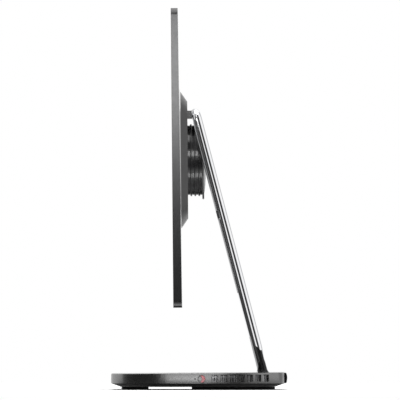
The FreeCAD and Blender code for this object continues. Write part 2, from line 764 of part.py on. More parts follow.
def arm_pipe(name, radii, foot, reach, frame):
    """A round bar from the foot, up one leg and round the bend, to its end on the crossbar."""
    body = new_body(name, frame)
    ring = new_sketch(body, "XY_Plane", name + "Section")
    for radius in radii:
        circle = ring.addGeometry(Part.Circle(Vector(s.arm_spread, 0, 0), UP, 1.0 + radii.index(radius)))
        ring.addConstraint(Sketcher.Constraint("PointOnObject", circle, 3, -1))
        spread = ring.addConstraint(Sketcher.Constraint("DistanceX", -1, 1, circle, 3, s.arm_spread))
        ring.setExpression(f"Constraints[{spread}]", formula("arm_spread"))
        bound = ring.addConstraint(Sketcher.Constraint("Radius", circle, 1.0 + radii.index(radius)))
        ring.setExpression(f"Constraints[{bound}]", formula(radius))
    path = new_sketch(body, "XZ_Plane", name + "Path")
    bend = s.arm_bend_radius
    corner = s.arm_length - bend
    leg = path.addGeometry(Part.LineSegment(Vector(s.arm_spread, 0, 0), Vector(s.arm_spread, corner, 0)))
    circle = Part.Circle(Vector(s.arm_spread - bend, corner, 0), UP, bend)
    turn = path.addGeometry(Part.ArcOfCircle(circle, 0, math.pi / 2))
    bar = path.addGeometry(Part.LineSegment(Vector(s.arm_spread - bend, s.arm_length, 0),
                                            Vector(bend, s.arm_length, 0)))
    path.addConstraint(Sketcher.Constraint("Tangent", leg, 2, turn, 1))
    path.addConstraint(Sketcher.Constraint("Tangent", turn, 2, bar, 1))
    path.addConstraint(Sketcher.Constraint("Vertical", leg))
    path.addConstraint(Sketcher.Constraint("Horizontal", bar))
    path.addConstraint(Sketcher.Constraint("PointOnObject", leg, 1, -1))
    limits = [
        (Sketcher.Constraint("DistanceX", -1, 1, leg, 1, s.arm_spread), "arm_spread"),
        (Sketcher.Constraint("Radius", turn, bend), "arm_bend_radius"),
        (Sketcher.Constraint("DistanceY", -1, 1, bar, 2, s.arm_length), f"arm_length + {foot}"),
        (Sketcher.Constraint("DistanceX", -1, 1, bar, 2, bend), reach),
    ]
    for constraint, value in limits:
        bound = path.addConstraint(constraint)
        path.setExpression(f"Constraints[{bound}]", formula(value))
    pipe = body.newObject("PartDesign::AdditivePipe", name + "Pipe")
    pipe.Profile = ring
    pipe.Spine = path
    return body


def make_arm():
    sunk = ARM * Placement(Vector(0, 0, -s.arm_foot_depth), Rotation())
    turned_about = sunk * Placement(Vector(), Rotation(UP, 180))
    reach = "barrel_length / 2 + barrel_gap"
    for label, frame in (("arm_leg_right", sunk), ("arm_leg_left", turned_about)):
        body = arm_pipe(label + "_bar", ["arm_radius", "shaft_radius"], "arm_foot_depth", reach, frame)
        keep(body, label)
    keep(arm_pipe("DisplayCable", ["cable_radius"], "arm_foot_depth", "cable_end", sunk), "display_cable")
    start = tilt_axis() - ACROSS * (s.barrel_length / 2 + s.shaft_grip)
    shaft = rod("ShaftBar", "shaft_radius", "barrel_length + 2 * shaft_grip", start, ACROSS)
    hollow = rod("ShaftBore", "shaft_bore_radius", "barrel_length + 2 * shaft_grip", start, ACROSS)
    keep(trimmed("HingeShaft", shaft, hollow), "hinge_shaft")


def leg_holes():
    """The space that the two legs take where they pass into the base."""
    holes = []
    for side in (-1, 1):
        bar = Part.makeCylinder(s.arm_radius, 2 * s.arm_foot_depth,
                                Vector(side * s.arm_spread, 0, -s.arm_foot_depth), UP)
        bar.Placement = ARM
        holes.append(bar)
    return Part.makeCompound(holes)


def make_foot_plate():
    """A steel plate under the base's top that the legs are fixed to, with its screws."""
    plate = Part.makeBox(s.foot_plate_width, s.foot_plate_length, s.foot_plate_thickness,
                         Vector(-s.foot_plate_width / 2, s.arm_foot_back - s.foot_plate_length / 2,
                                s.foot_plate_low))
    screws = []
    for side in (-1, 1):
        for inner in (s.foot_screw_inner, s.foot_screw_outer):
            place = Vector(side * inner, s.arm_foot_back, s.foot_plate_low)
            screws.append(screw_shape(place, UP * -1))
    screws = Part.makeCompound(screws)
    keep(formed("ArmFootPlate", plate.cut(leg_holes()).cut(screws)), "arm_foot_plate")
    keep(formed("FootPlateScrews", screws), "foot_plate_screws")
    return screws


# ---------------------------------------------------------------- base

REAR_ARC_CENTRE = Vector(s.base_width / 2 - s.rear_side_radius, s.rear_arc_start, 0)
FRONT_ARC_CENTRE = Vector(s.base_width / 2 - s.front_side_radius, -s.front_arc_start, 0)
TOP_SLOPE = (s.shell_rear_top - s.shell_front_top) / (2 * s.base_front)


def end_corner(centre, side_radius, end_distance, turn):
    """The centre and radius of the tight arc that carries a side arc on round to the front or back."""
    sine = math.sin(math.radians(abs(turn)))
    radius = (end_distance - abs(centre.y + side_radius * sine * math.copysign(1, turn))) / (1 - sine)
    return polar(centre, side_radius - radius, turn), radius


def base_outline(inset, level):
    """The base's plan outline: bowed sides that tighten into the front and rear corners."""
    turn = s.side_arc_turn
    rise = Vector(0, 0, level)
    front_centre, front_radius = end_corner(FRONT_ARC_CENTRE, s.front_side_radius, s.base_front, -turn)
    rear_centre, rear_radius = end_corner(REAR_ARC_CENTRE, s.rear_side_radius, s.base_back, turn)
    right = [
        arc(front_centre + rise, front_radius - inset, -90, -turn),
        arc(FRONT_ARC_CENTRE + rise, s.front_side_radius - inset, -turn, 0),
        arc(REAR_ARC_CENTRE + rise, s.rear_side_radius - inset, 0, turn),
        arc(rear_centre + rise, rear_radius - inset, turn, 90),
    ]
    left = [
        arc(mirrored(rear_centre) + rise, rear_radius - inset, 90, 180 - turn),
        arc(mirrored(REAR_ARC_CENTRE) + rise, s.rear_side_radius - inset, 180 - turn, 180),
        arc(mirrored(FRONT_ARC_CENTRE) + rise, s.front_side_radius - inset, 180, 180 + turn),
        arc(mirrored(front_centre) + rise, front_radius - inset, 180 + turn, 270),
    ]
    return closed_wire(right + left)


def mirrored(point):
    return Vector(-point.x, point.y, point.z)


def under_top(solid, drop):
    """Cuts a solid off at the shell's gently rising top, or at a plane below it."""
    side = 2 * s.base_width
    beyond = Part.makeBox(side, side, side, Vector(-side / 2, -side / 2, 0))
    middle = (s.shell_front_top + s.shell_rear_top) / 2 - drop
    beyond.Placement = Placement(Vector(0, 0, middle), Rotation(ACROSS, math.degrees(math.atan(TOP_SLOPE))))
    return solid.cut(beyond)


def vent_windows():
    """The row of outlet windows, each cut square to the bowed side."""
    windows = []
    for index in range(int(s.vent_count)):
        angle = s.vent_first_angle + index * s.vent_pitch_angle
        centre = polar(REAR_ARC_CENTRE, s.rear_side_radius, angle)
        height = s.vent_centre + TOP_SLOPE * (centre.y - REAR_ARC_CENTRE.y)
        window = Part.makeBox(4 * s.shell_wall, s.vent_width, s.vent_height,
                              Vector(-2 * s.shell_wall, -s.vent_width / 2, -s.vent_height / 2))
        window.Placement = Placement(Vector(centre.x, centre.y, height), Rotation(UP, angle))
        windows.append(window)
    return windows


BOSSES = [(s.front_boss_right, -s.front_boss_front), (-s.front_boss_right, -s.front_boss_front),
          (s.rear_boss_right, s.rear_boss_back), (-s.rear_boss_right, s.rear_boss_back)]


def button_axis_point(back, height):
    """A point on the base's flat right side."""
    return Vector(s.base_width / 2, back, height)


def make_shell(foot_screws, ports):
    block = slab(base_outline(0.0, s.shell_low), s.shell_rear_top)
    hollow = slab(base_outline(s.shell_wall, s.shell_low - BEYOND), s.shell_rear_top)
    shell = under_top(block, 0.0).cut(under_top(hollow, s.shell_top_thickness))
    bosses = []
    for right, back in BOSSES:
        post = Part.makeCylinder(s.boss_radius, s.shell_rear_top, Vector(right, back, s.boss_low), UP)
        bosses.append(under_top(post, s.shell_top_thickness / 2))
    button_hole = Part.makeCylinder(s.button_hole_radius, 2 * s.shell_wall,
                                    button_axis_point(s.button_offset, s.button_height), ACROSS * -1)
    light_hole = Part.makeCylinder(s.status_light_radius, 2 * s.shell_wall,
                                   button_axis_point(-s.status_light_offset, s.button_height), ACROSS * -1)
    rear_window = Part.makeBox(s.port_window_width, 3 * s.shell_wall, s.port_window_height,
                               Vector(-s.port_window_width / 2, s.base_back - 2 * s.shell_wall,
                                      s.shell_low + s.shell_top_thickness))
    shell = shell.fuse(bosses).cut(vent_windows() + [button_hole, light_hole, rear_window])
    shell = shell.cut([leg_holes(), foot_screws, tray_screws(), ports]).removeSplitter()
    keep(formed("BaseTopShell", shell), "base_top_shell")


def tray_screws():
    screws = []
    for right, back in BOSSES:
        place = Vector(right, back, s.tray_screw_seat)
        shank = Part.makeCylinder(s.screw_radius, s.tray_screw_length, place, UP)
        head = Part.makeCylinder(s.screw_head_radius, s.screw_head_height, place, UP * -1)
        screws.append(shank.fuse(head))
    return Part.makeCompound(screws)


def make_tray():
    """The black bottom dish, bevelled up to the shell's lower edge, with a raised rim inside it."""
    outside = Part.makeLoft([base_outline(s.tray_inset, s.tray_low),
                             base_outline(s.tray_edge_step, s.shell_low)], True, True)
    inside = Part.makeLoft([base_outline(s.tray_inset + s.tray_floor, s.tray_low + s.tray_floor),
                            base_outline(s.tray_edge_step + 2 * s.tray_floor, s.shell_low)], True, True)
    posts = []
    sockets = []
    for right, back in BOSSES:
        base = Vector(right, back, s.tray_low)
        post = Part.makeCylinder(s.boss_radius, s.boss_low - s.tray_low, base, UP)
        posts.append(post.common(outside))
        sockets.append(Part.makeCylinder(s.screw_head_radius + s.sheet_gap, s.tray_screw_seat - s.tray_low,
                                         base, UP))
    tray = outside.cut(inside).fuse(posts).cut(sockets)
    tray = tray.cut(tray_screws()).removeSplitter()
    keep(formed("BaseBottomTray", tray), "base_bottom_tray")
    keep(formed("TrayScrews", tray_screws()), "tray_screws")


def make_feet():
    front_length = "(front_foot_front - front_foot_rear)"
    front_centre = (0, -(s.front_foot_front + s.front_foot_rear) / 2, 0)
    keep(rounded_plate("FrontFoot", ("front_foot_width", front_length, "tray_low"),
                       "foot_corner_radius", front_centre), "front_foot")
    rails = []
    for side in (-1, 1):
        centre = (side * s.rear_foot_spread, (s.rear_foot_rear - s.rear_foot_front) / 2, 0)
        sizes = ("rear_foot_width", "rear_foot_front + rear_foot_rear", "tray_low")
        rails.append(rounded_plate(f"RearRail{side + 1}", sizes, "foot_corner_radius", centre))
    keep(grouped("RearFeet", rails), "rear_feet")


PORT_LOW = s.board_low + s.board_thickness
PORT_BACK = s.base_back + s.port_panel_bulge - s.port_recess


def socket_shape(centre, width, height, depth, wall, tongue_width, tongue_height):
    """A sheet-metal socket with its mouth at the back, and a tongue inside it if it has one."""
    front = PORT_BACK - depth
    outside = Part.makeBox(width, depth, height, Vector(centre - width / 2, front, PORT_LOW))
    inside = Part.makeBox(width - 2 * wall, depth - wall, height - 2 * wall,
                          Vector(centre - width / 2 + wall, front + wall, PORT_LOW + wall))
    shell = outside.cut(inside)
    if tongue_width:
        tongue = Part.makeBox(tongue_width, depth - s.tongue_recess, tongue_height,
                              Vector(centre - tongue_width / 2, front,
                                     PORT_LOW + (height - tongue_height) / 2 + wall))
        shell = shell.fuse(tongue)
    return shell


def round_socket(centre, width, height, depth, hole_radius, pin_radius):
    front = PORT_BACK - depth
    block = Part.makeBox(width, depth, height, Vector(centre - width / 2, front, PORT_LOW))
    middle = Vector(centre, PORT_BACK, PORT_LOW + height / 2)
    hole = Part.makeCylinder(hole_radius, depth - s.socket_floor, middle, BACK * -1)
    block = block.cut(hole)
    if pin_radius:
        pin = Part.makeCylinder(pin_radius, depth - s.socket_lip, middle - BACK * s.socket_lip, BACK * -1)
        block = block.fuse(pin)
    return block


def make_ports():
    """The sockets along the back, and the black panel that frames them."""
    usb = []
    for index in range(int(s.usb_count)):
        centre = s.usb_first + index * s.usb_pitch
        usb.append(socket_shape(centre, s.usb_width, s.usb_height, s.usb_depth, s.socket_wall,
                                s.usb_tongue_width, s.usb_tongue_height))
    hdmi = []
    for centre in (-s.hdmi_place - s.hdmi_pitch / 2, -s.hdmi_place + s.hdmi_pitch / 2):
        hdmi.append(socket_shape(centre, s.hdmi_width, s.hdmi_height, s.hdmi_depth, s.socket_wall,
                                 s.hdmi_tongue_width, s.hdmi_tongue_height))
    ethernet = socket_shape(-s.ethernet_place, s.ethernet_width, s.ethernet_height, s.usb_depth,
                            s.ethernet_wall, 0, 0)
    audio = round_socket(s.audio_place, s.audio_width, s.audio_height, s.hdmi_depth, s.audio_radius, 0)
    power = round_socket(-s.inlet_place, s.inlet_width, s.inlet_height, s.usb_depth, s.inlet_radius,
                         s.inlet_pin_radius)
    for label, shape in (("usb_ports", Part.makeCompound(usb)), ("hdmi_ports", Part.makeCompound(hdmi)),
                         ("ethernet_port", ethernet), ("audio_jack", audio), ("dc_inlet", power)):
        keep(formed(label + "_metal", shape), label)
    blocks = []
    for shape in usb + hdmi + [ethernet, audio, power]:
        bounds = shape.BoundBox
        blocks.append(Part.makeBox(bounds.XLength, bounds.YLength + s.shell_wall, bounds.ZLength,
                                   Vector(bounds.XMin, bounds.YMin, bounds.ZMin)))
    low = s.shell_low + s.port_panel_step
    high = s.shell_rear_top - s.port_panel_step
    edge = s.base_back + s.port_panel_bulge - s.port_panel_sag
    half = s.port_panel_width / 2
    corners = [Vector(-half, s.base_back, low), Vector(-half, edge, low),
               Vector(-half, edge, high), Vector(-half, s.base_back, high)]
    bow = Part.Arc(corners[1], Vector(-half, s.base_back + s.port_panel_bulge, (low + high) / 2),
                   corners[2]).toShape()
    outline = Part.Wire([Part.makeLine(corners[0], corners[1]), bow, Part.makeLine(corners[2], corners[3]),
                         Part.makeLine(corners[3], corners[0])])
    panel = Part.Face(outline).extrude(ACROSS * s.port_panel_width).cut(blocks)
    keep(formed("RearPortPanel", panel), "rear_port_panel")
    return Part.makeCompound(blocks)


def make_board():
    """The L-shaped main board, with its processor, memory and wireless card."""
    corners = [(-s.board_left, -s.board_front), (s.board_right, -s.board_front),
               (s.board_right, s.board_strip_front), (s.board_strip_right, s.board_strip_front),
               (s.board_strip_right, s.board_back - s.shell_wall - s.board_edge_gap),
               (-s.board_strip_right, s.board_back - s.shell_wall - s.board_edge_gap),
               (-s.board_left, s.board_strip_front - s.boss_radius)]
    points = [Vector(x, y, s.board_low) for x, y in corners]
    board = slab(Part.makePolygon(points + points[:1]), s.board_thickness)
    keep(formed("Motherboard", board), "motherboard")
    top = s.board_low + s.board_thickness
    processor_centre = Vector(0, s.processor_back, 0)
    keep(box("Processor", ("processor_size", "processor_size", "processor_height"),
             processor_centre + UP * (top + s.processor_height / 2)), "processor")
    plate_low = top + s.processor_height
    keep(box("ColdPlate", ("cold_plate_size", "cold_plate_size", "cold_plate_height"),
             processor_centre + UP * (plate_low + s.cold_plate_height / 2)), "cold_plate")
    modules = []
    for index in range(2):
        centre = (-s.memory_place, s.memory_first + index * s.memory_pitch, top + s.memory_height / 2)
        modules.append(box(f"MemoryModule{index}", ("memory_width", "memory_length", "memory_height"),
                           centre))
    keep(grouped("MemoryModules", modules), "memory_modules")


def make_heat_pipe():
    """A flattened pipe from the processor round to the top of the fins' inner step."""
    low = s.pipe_low
    middle_radius = (s.fin_inner_radius + s.fin_step_radius) / 2
    half = s.pipe_width / 2
    corner = s.pipe_corner_radius
    straight_y = s.rear_arc_start - corner
    corner_x = REAR_ARC_CENTRE.x + middle_radius - corner
    straight = Part.makeBox(corner_x + s.pipe_start, s.pipe_width, s.pipe_height,
                            Vector(-s.pipe_start, straight_y - half, low))
    bend = ring_sector(Vector(corner_x, s.rear_arc_start, 0), corner - half, corner + half, -90, 0,
                       low, s.pipe_height)
    end = s.fin_first_angle + (s.fin_count - 1) * s.fin_pitch_angle
    sweep = ring_sector(REAR_ARC_CENTRE, middle_radius - half, middle_radius + half, 0, end,
                        low, s.pipe_height)
    keep(formed("HeatPipe", straight.fuse([bend, sweep]).removeSplitter()), "heat_pipe")


def make_fins():
    """The stack of upright fins behind the windows, joined by a thin floor."""
    first = s.fin_first_angle
    last = first + (s.fin_count - 1) * s.fin_pitch_angle
    low = s.fin_low
    margin = s.fin_pitch_angle / 2
    parts = [ring_sector(REAR_ARC_CENTRE, s.fin_inner_radius, s.fin_outer_radius, first - margin,
                         last + margin, low, s.fin_thickness)]
    for index in range(int(s.fin_count)):
        angle = first + index * s.fin_pitch_angle
        sizes = [(s.fin_inner_radius, s.fin_step_radius, s.pipe_low - low),
                 (s.fin_step_radius, s.fin_outer_radius, s.fin_high - low)]
        for inner, outer, height in sizes:
            fin = Part.makeBox(outer - inner, s.fin_thickness, height,
                               Vector(inner, -s.fin_thickness / 2, low))
            fin.Placement = Placement(REAR_ARC_CENTRE, Rotation(UP, angle))
            parts.append(fin)
    keep(formed("HeatSinkFins", parts[0].fuse(parts[1:]).removeSplitter()), "heat_sink_fins")


def blower_plan(inset, low, height):
    """The blower's round scroll and its duct to the fins, drawn inset for the hollow."""
    centre = Vector(s.blower_centre_right, s.blower_centre_back, low)
    scroll = Part.makeCylinder(s.blower_radius - inset, height, centre, UP)
    last = s.fin_first_angle + (s.fin_count - 1) * s.fin_pitch_angle
    turn = math.degrees(inset / s.fin_inner_radius)
    duct = ring_sector(REAR_ARC_CENTRE, s.duct_inner_radius, s.fin_inner_radius - s.sheet_gap,
                       s.duct_first_angle + turn, last - turn, low, height)
    return scroll.fuse(duct)


def make_blower():
    wall = s.blower_wall
    height = s.blower_high - s.blower_low
    outside = blower_plan(0.0, s.blower_low, height)
    inside = blower_plan(wall, s.blower_low + wall, height - 2 * wall)
    outlet_start = s.duct_first_angle + s.fin_pitch_angle
    outlet_end = s.fin_first_angle + (s.fin_count - 2) * s.fin_pitch_angle
    outlet = ring_sector(REAR_ARC_CENTRE, s.fin_inner_radius - 2 * wall, s.fin_inner_radius + wall,
                         outlet_start, outlet_end, s.blower_low + wall, height - 2 * wall)
    centre = Vector(s.blower_centre_right, s.blower_centre_back, 0)
    inlet = Part.makeCylinder(s.inlet_eye_radius, wall * 4, centre + UP * (s.blower_high - 2 * wall), UP)
    keep(formed("BlowerHousing", outside.cut([inside, outlet, inlet]).removeSplitter()), "blower_housing")
    floor = s.blower_low + wall
    stator = Part.makeCylinder(s.stator_radius, s.stator_height, centre + UP * floor, UP)
    bearing = Part.makeCylinder(s.spindle_radius + s.running_clearance, s.stator_height,
                                centre + UP * (floor + wall), UP)
    keep(formed("BlowerStator", stator.cut(bearing)), "blower_stator")
    low = floor + s.stator_height + s.impeller_gap
    high = s.blower_high - wall - s.impeller_gap
    hub = Part.makeCylinder(s.hub_radius, high - low, centre + UP * low, UP)
    spindle_low = floor + wall + s.impeller_gap / 2
    spindle = Part.makeCylinder(s.spindle_radius, low - spindle_low, centre + UP * spindle_low, UP)
    blades = []
    for index in range(int(s.blade_count)):
        angle = index * 360 / s.blade_count
        blade = Part.makeBox(s.impeller_radius - s.hub_radius + s.blade_root, s.blade_thickness,
                             high - low - s.blade_root,
                             Vector(s.hub_radius - s.blade_root, -s.blade_thickness / 2, 0))
        blade.Placement = Placement(centre + UP * low, Rotation(UP, angle))
        blades.append(blade)
    keep(formed("BlowerImpeller", hub.fuse(blades + [spindle]).removeSplitter()), "blower_impeller")


def make_storage():
    floor = s.tray_low + s.tray_floor + s.drive_rise
    keep(box("HardDrive", ("hard_drive_width", "hard_drive_length", "hard_drive_height"),
             (-s.hard_drive_place, -s.drive_front, floor + s.hard_drive_height / 2)), "hard_drive")
    keep(box("SolidDrive", ("solid_drive_width", "solid_drive_length", "solid_drive_height"),
             (s.solid_drive_place, -s.solid_drive_front, floor + s.solid_drive_height / 2)),
         "solid_state_drive")
    keep(box("WirelessCard", ("wireless_width", "wireless_length", "wireless_height"),
             (s.solid_drive_place, -s.wireless_front, floor + s.wireless_height / 2)), "wireless_card")
    keep(box("BallastPlate", ("ballast_width", "ballast_length", "ballast_height"),
             (0, -s.ballast_front, s.ballast_low + s.ballast_height / 2)), "ballast_plate")


def make_switch():
    """The switch behind the button, on a small upright board with a post to the base's side wall."""
    switch_high = s.base_width / 2 - s.button_stem_length - s.button_travel - s.sheet_gap
    switch_low = switch_high - s.switch_depth
    body = box("SwitchBody", ("switch_depth", "switch_size", "switch_size"),
               (switch_high - s.switch_depth / 2, s.button_offset, s.button_height))
    board = box("SwitchBoard", ("switch_board_thickness", "switch_board_front + switch_board_back",
                                "switch_board_height"),
                (switch_low - s.switch_board_thickness / 2,
                 (s.switch_board_back - s.switch_board_front) / 2, s.button_height))
    wall_inside = s.base_width / 2 - s.shell_wall
    post_reach = "button_stem_length + button_travel + sheet_gap + switch_depth - shell_wall"
    post = box("SwitchPost", (post_reach, "switch_post_length", "switch_board_height"),
               ((switch_low + wall_inside) / 2, -s.switch_board_front + s.switch_post_length / 2,
                s.button_height))
    keep(joined("PowerSwitch", [body, board, post]), "power_switch")


def make_button():
    """The power button with its disc and crescent, the ring round it, its switch and the status light."""
    face = button_axis_point(s.button_offset, s.button_height)
    inward = ACROSS * -1
    ring = Part.makeCylinder(s.button_hole_radius, s.shell_wall, face, inward)
    opening = Part.makeCylinder(s.button_radius + s.button_gap, 2 * s.shell_wall, face + ACROSS, inward)
    keep(formed("ButtonSurround", ring.cut(opening)), "button_surround")
    disc = Part.makeCylinder(s.button_radius, s.button_depth, face, inward)
    stem = Part.makeCylinder(s.button_stem_radius, s.button_stem_length, face, inward)
    inlay = Part.makeCylinder(s.button_disc_radius, s.inlay_depth, face - BACK * s.button_disc_shift, inward)
    inner = Part.makeCylinder(s.button_radius - s.inlay_rim, s.inlay_depth, face, inward)
    beside = Part.makeCylinder(s.crescent_radius, s.shell_wall,
                               face - BACK * s.crescent_shift + ACROSS, inward)
    crescent = inner.cut(beside)
    body = disc.fuse(stem).cut([crescent.copy(), inlay.copy()]).removeSplitter()
    keep(formed("PowerButton", body), "power_button")
    keep(formed("ButtonDisc", inlay), "button_disc")
    keep(formed("ButtonCrescent", crescent), "button_crescent")
    make_switch()
    light = Part.makeCylinder(s.status_light_radius, 2 * s.shell_wall,
                              button_axis_point(-s.status_light_offset, s.button_height), inward)
    keep(formed("StatusLight", light), "status_light")


def check_objects():
    """Stops on any object that failed to build, or any sub-part that isn't a sound solid."""
    for obj in doc.Objects:
        if "Invalid" in obj.State or "Error" in obj.State:
            raise RuntimeError(f"{obj.Name} failed: {obj.State}")
    for obj in NODES:
        if obj.Shape.isNull() or not obj.Shape.isValid() or not obj.Shape.Solids:
            raise RuntimeError(f"{obj.Label} has no sound solid")


make_chassis(make_screen_stack())
make_webcam()
make_rear_cover()
make_rear_housing()
make_hinge_bushes()
make_housing_parts()
make_woofer()
make_arm()
plate_screws = make_foot_plate()
port_blocks = make_ports()
make_shell(plate_screws, port_blocks)
make_tray()
make_feet()
make_board()
make_heat_pipe()
make_fins()
make_blower()
make_storage()
make_button()
doc.recompute()
check_objects()

os.makedirs("parts", exist_ok=True)
for node in NODES:
    node.Shape.exportStep(os.path.join("parts", node.Label + ".step"))
    print(f"{node.Label}: {len(node.Shape.Solids)} solids, {node.Shape.Volume / 1000:.2f} cubic centimetres")
print(len(NODES), "nodes")
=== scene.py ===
"""Looks of the all-in-one PC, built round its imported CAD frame.

Frame: +Z up, the display faces -Y, +X is the viewer's right, where the power button and the air
outlet are. Lengths are in metres and angles in degrees, unless a name says otherwise.
"""
import json
import math

import bmesh
import bpy
from mathutils import Matrix, Vector, geometry


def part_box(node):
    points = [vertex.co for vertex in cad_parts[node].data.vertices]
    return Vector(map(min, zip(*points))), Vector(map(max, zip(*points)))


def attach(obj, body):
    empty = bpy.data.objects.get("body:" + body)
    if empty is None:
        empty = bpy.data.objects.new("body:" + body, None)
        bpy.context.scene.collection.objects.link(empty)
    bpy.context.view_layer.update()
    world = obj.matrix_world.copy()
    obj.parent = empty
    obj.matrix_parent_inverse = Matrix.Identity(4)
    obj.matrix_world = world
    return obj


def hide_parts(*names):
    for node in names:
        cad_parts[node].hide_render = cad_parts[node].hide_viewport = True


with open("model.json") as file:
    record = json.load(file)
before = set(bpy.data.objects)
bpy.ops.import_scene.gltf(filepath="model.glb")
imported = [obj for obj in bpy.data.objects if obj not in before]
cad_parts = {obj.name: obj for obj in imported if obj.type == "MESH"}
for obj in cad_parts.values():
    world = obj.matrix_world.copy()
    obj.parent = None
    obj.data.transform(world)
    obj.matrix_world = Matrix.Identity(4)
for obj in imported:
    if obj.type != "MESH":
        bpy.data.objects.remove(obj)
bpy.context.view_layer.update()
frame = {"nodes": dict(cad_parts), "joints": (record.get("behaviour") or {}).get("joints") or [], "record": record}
NODES = frame["nodes"]
TILT = next(joint for joint in frame["joints"] if joint["name"] == "display_tilt")
TILT_AXIS = Vector(TILT["pos_m"])
MM = 0.001
ROUND = 2 * math.pi

# Sizes that the finished pieces share.
EDGE_SMALL = 0.15 * MM
EDGE_MEDIUM = 0.4 * MM
EDGE_LARGE = 0.8 * MM
MERGE_WITHIN = 0.002 * MM
FLAT_WITHIN = 0.8
SHARP_ABOVE = 28.0

# The arm: two polished legs that lean forward from the base to the tilt axis, and bend in to it.
LEG_LOW, LEG_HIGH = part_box("arm_leg_right")
BAR_RADIUS = LEG_HIGH.z - TILT_AXIS.z
LEG_SPREAD = LEG_HIGH.x - BAR_RADIUS
LEG_END = LEG_LOW.x
BEND_RADIUS = 8 * MM
ARM_LEAN = math.radians(14.76)
SHELL_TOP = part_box("base_top_shell")[1].z
UP_LEG = Vector((0, -math.sin(ARM_LEAN), math.cos(ARM_LEAN)))
BEHIND_LEG = Vector((0, math.cos(ARM_LEAN), math.sin(ARM_LEAN)))
LEG_LENGTH = (TILT_AXIS.z - SHELL_TOP) / math.cos(ARM_LEAN)
LEG_SUNK = 9 * MM
NECK_TOP = 34 * MM
NECK_LOW = 5 * MM
NECK_ACROSS = 0.12
NECK_BEHIND = 0.22
NECK_EASE = 1.6
NOSE_TAPER = 0.2
NOSE_START = 26 * MM
NOSE_LENGTH = 20 * MM
FLARE_LENGTH = 5 * MM
FLARE_SHARE = 0.3
LEG_FOOT = TILT_AXIS - UP_LEG * LEG_LENGTH
# Where the painted dark reflection on each leg's foot reaches: its point, its shoulder, its rim and its soft edge.
DARK_REFLECTION_TIP = 33 * MM
DARK_REFLECTION_SHOULDER = 27 * MM
DARK_REFLECTION_RIM = (4 * MM, 15 * MM)
DARK_REFLECTION_EDGE = 0.25 * MM


# ---------------------------------------------------------------- node materials

def math_node(tree, operation, *values):
    """The output of one sum, whose values are numbers or other nodes' outputs."""
    node = tree.nodes.new("ShaderNodeMath")
    node.operation = operation
    for socket, value in zip(node.inputs, values):
        if isinstance(value, (int, float)):
            socket.default_value = value
        else:
            tree.links.new(value, socket)
    return node.outputs["Value"]


class Surface:
    """A Principled material, with short calls that add the nodes which drive it."""

    def __init__(self, name, metallic, specular=0.5):
        self.material = bpy.data.materials.new(name)
        self.material.use_nodes = True
        self.tree = self.material.node_tree
        self.shader = self.tree.nodes["Principled BSDF"]
        self.shader.inputs["Metallic"].default_value = metallic
        self.shader.inputs["Specular IOR Level"].default_value = specular
        self.place = self.add("ShaderNodeTexCoord").outputs["Object"]

    def add(self, kind, **settings):
        node = self.tree.nodes.new(kind)
        for key, value in settings.items():
            setattr(node, key, value)
        return node

    def join(self, source, target):
        self.tree.links.new(source, target)

    def stretched(self, scale):
        """The place on the object, stretched by a different amount along each axis."""
        node = self.add("ShaderNodeMapping")
        node.inputs["Scale"].default_value = scale
        self.join(self.place, node.inputs["Vector"])
        return node.outputs["Vector"]

    def noise(self, scale, detail=3.0, stretch=None):
        node = self.add("ShaderNodeTexNoise")
        node.inputs["Scale"].default_value = scale
        node.inputs["Detail"].default_value = detail
        self.join(self.stretched(stretch) if stretch else self.place, node.inputs["Vector"])
        return node.outputs["Fac"]

    def between(self, factor, low, high, start=0.3, end=0.7):
        """A number that goes from low to high as the factor goes from start to end."""
        node = self.add("ShaderNodeMapRange")
        for key, value in (("From Min", start), ("From Max", end), ("To Min", low), ("To Max", high)):
            node.inputs[key].default_value = value
        self.join(factor, node.inputs["Value"])
        return node.outputs["Result"]

    def blend(self, factor, first, second):
        """A colour that goes from first to second, each a colour or another node's output."""
        node = self.add("ShaderNodeMix", data_type="RGBA")
        self.join(factor, node.inputs["Factor"])
        for socket, value in ((node.inputs[6], first), (node.inputs[7], second)):
            if isinstance(value, tuple):
                socket.default_value = (*value, 1.0)
            else:
                self.join(value, socket)
        return node.outputs[2]

    def maths(self, operation, *values):
        return math_node(self.tree, operation, *values)

    def along(self, direction, start):
        """How far a point on the object is from a starting point, along a direction."""
        apart = self.add("ShaderNodeVectorMath", operation="SUBTRACT")
        self.join(self.place, apart.inputs[0])
        apart.inputs[1].default_value = start
        length = self.add("ShaderNodeVectorMath", operation="DOT_PRODUCT")
        self.join(apart.outputs["Vector"], length.inputs[0])
        length.inputs[1].default_value = direction
        return length.outputs["Value"]

    def colour(self, output):
        self.join(output, self.shader.inputs["Base Color"])

    def rough(self, output):
        self.join(output, self.shader.inputs["Roughness"])

    def raised(self, height, distance):
        node = self.add("ShaderNodeBump")
        node.inputs["Strength"].default_value = 1.0
        node.inputs["Distance"].default_value = distance
        self.join(height, node.inputs["Height"])
        self.join(node.outputs["Normal"], self.shader.inputs["Normal"])

    def coat(self, weight, roughness):
        self.shader.inputs["Coat Weight"].default_value = weight
        self.shader.inputs["Coat Roughness"].default_value = roughness


def grained(name, light, dark, roughness, metallic, grain, height, stretch=None, specular=0.5):
    """A material with two close shades, uneven polish and a fine grain."""
    surface = Surface(name, metallic, specular)
    cloud = surface.noise(grain / 60, detail=4.0)
    fine = surface.noise(grain, detail=2.0, stretch=stretch)
    shade = surface.blend(surface.between(cloud, 0.0, 0.6), dark, light)
    surface.colour(surface.blend(surface.between(fine, 0.0, 0.35), shade, light))
    low, high = roughness
    surface.rough(surface.between(surface.noise(grain / 25, detail=5.0), low, high))
    surface.raised(fine, height)
    return surface


def anodised(name, light, dark, roughness=(0.24, 0.3)):
    """Bead-blasted and anodised aluminium: an even satin grain of about a tenth of a millimetre."""
    return grained(name, light, dark, roughness, 1.0, 9000.0, 0.0006 * MM).material


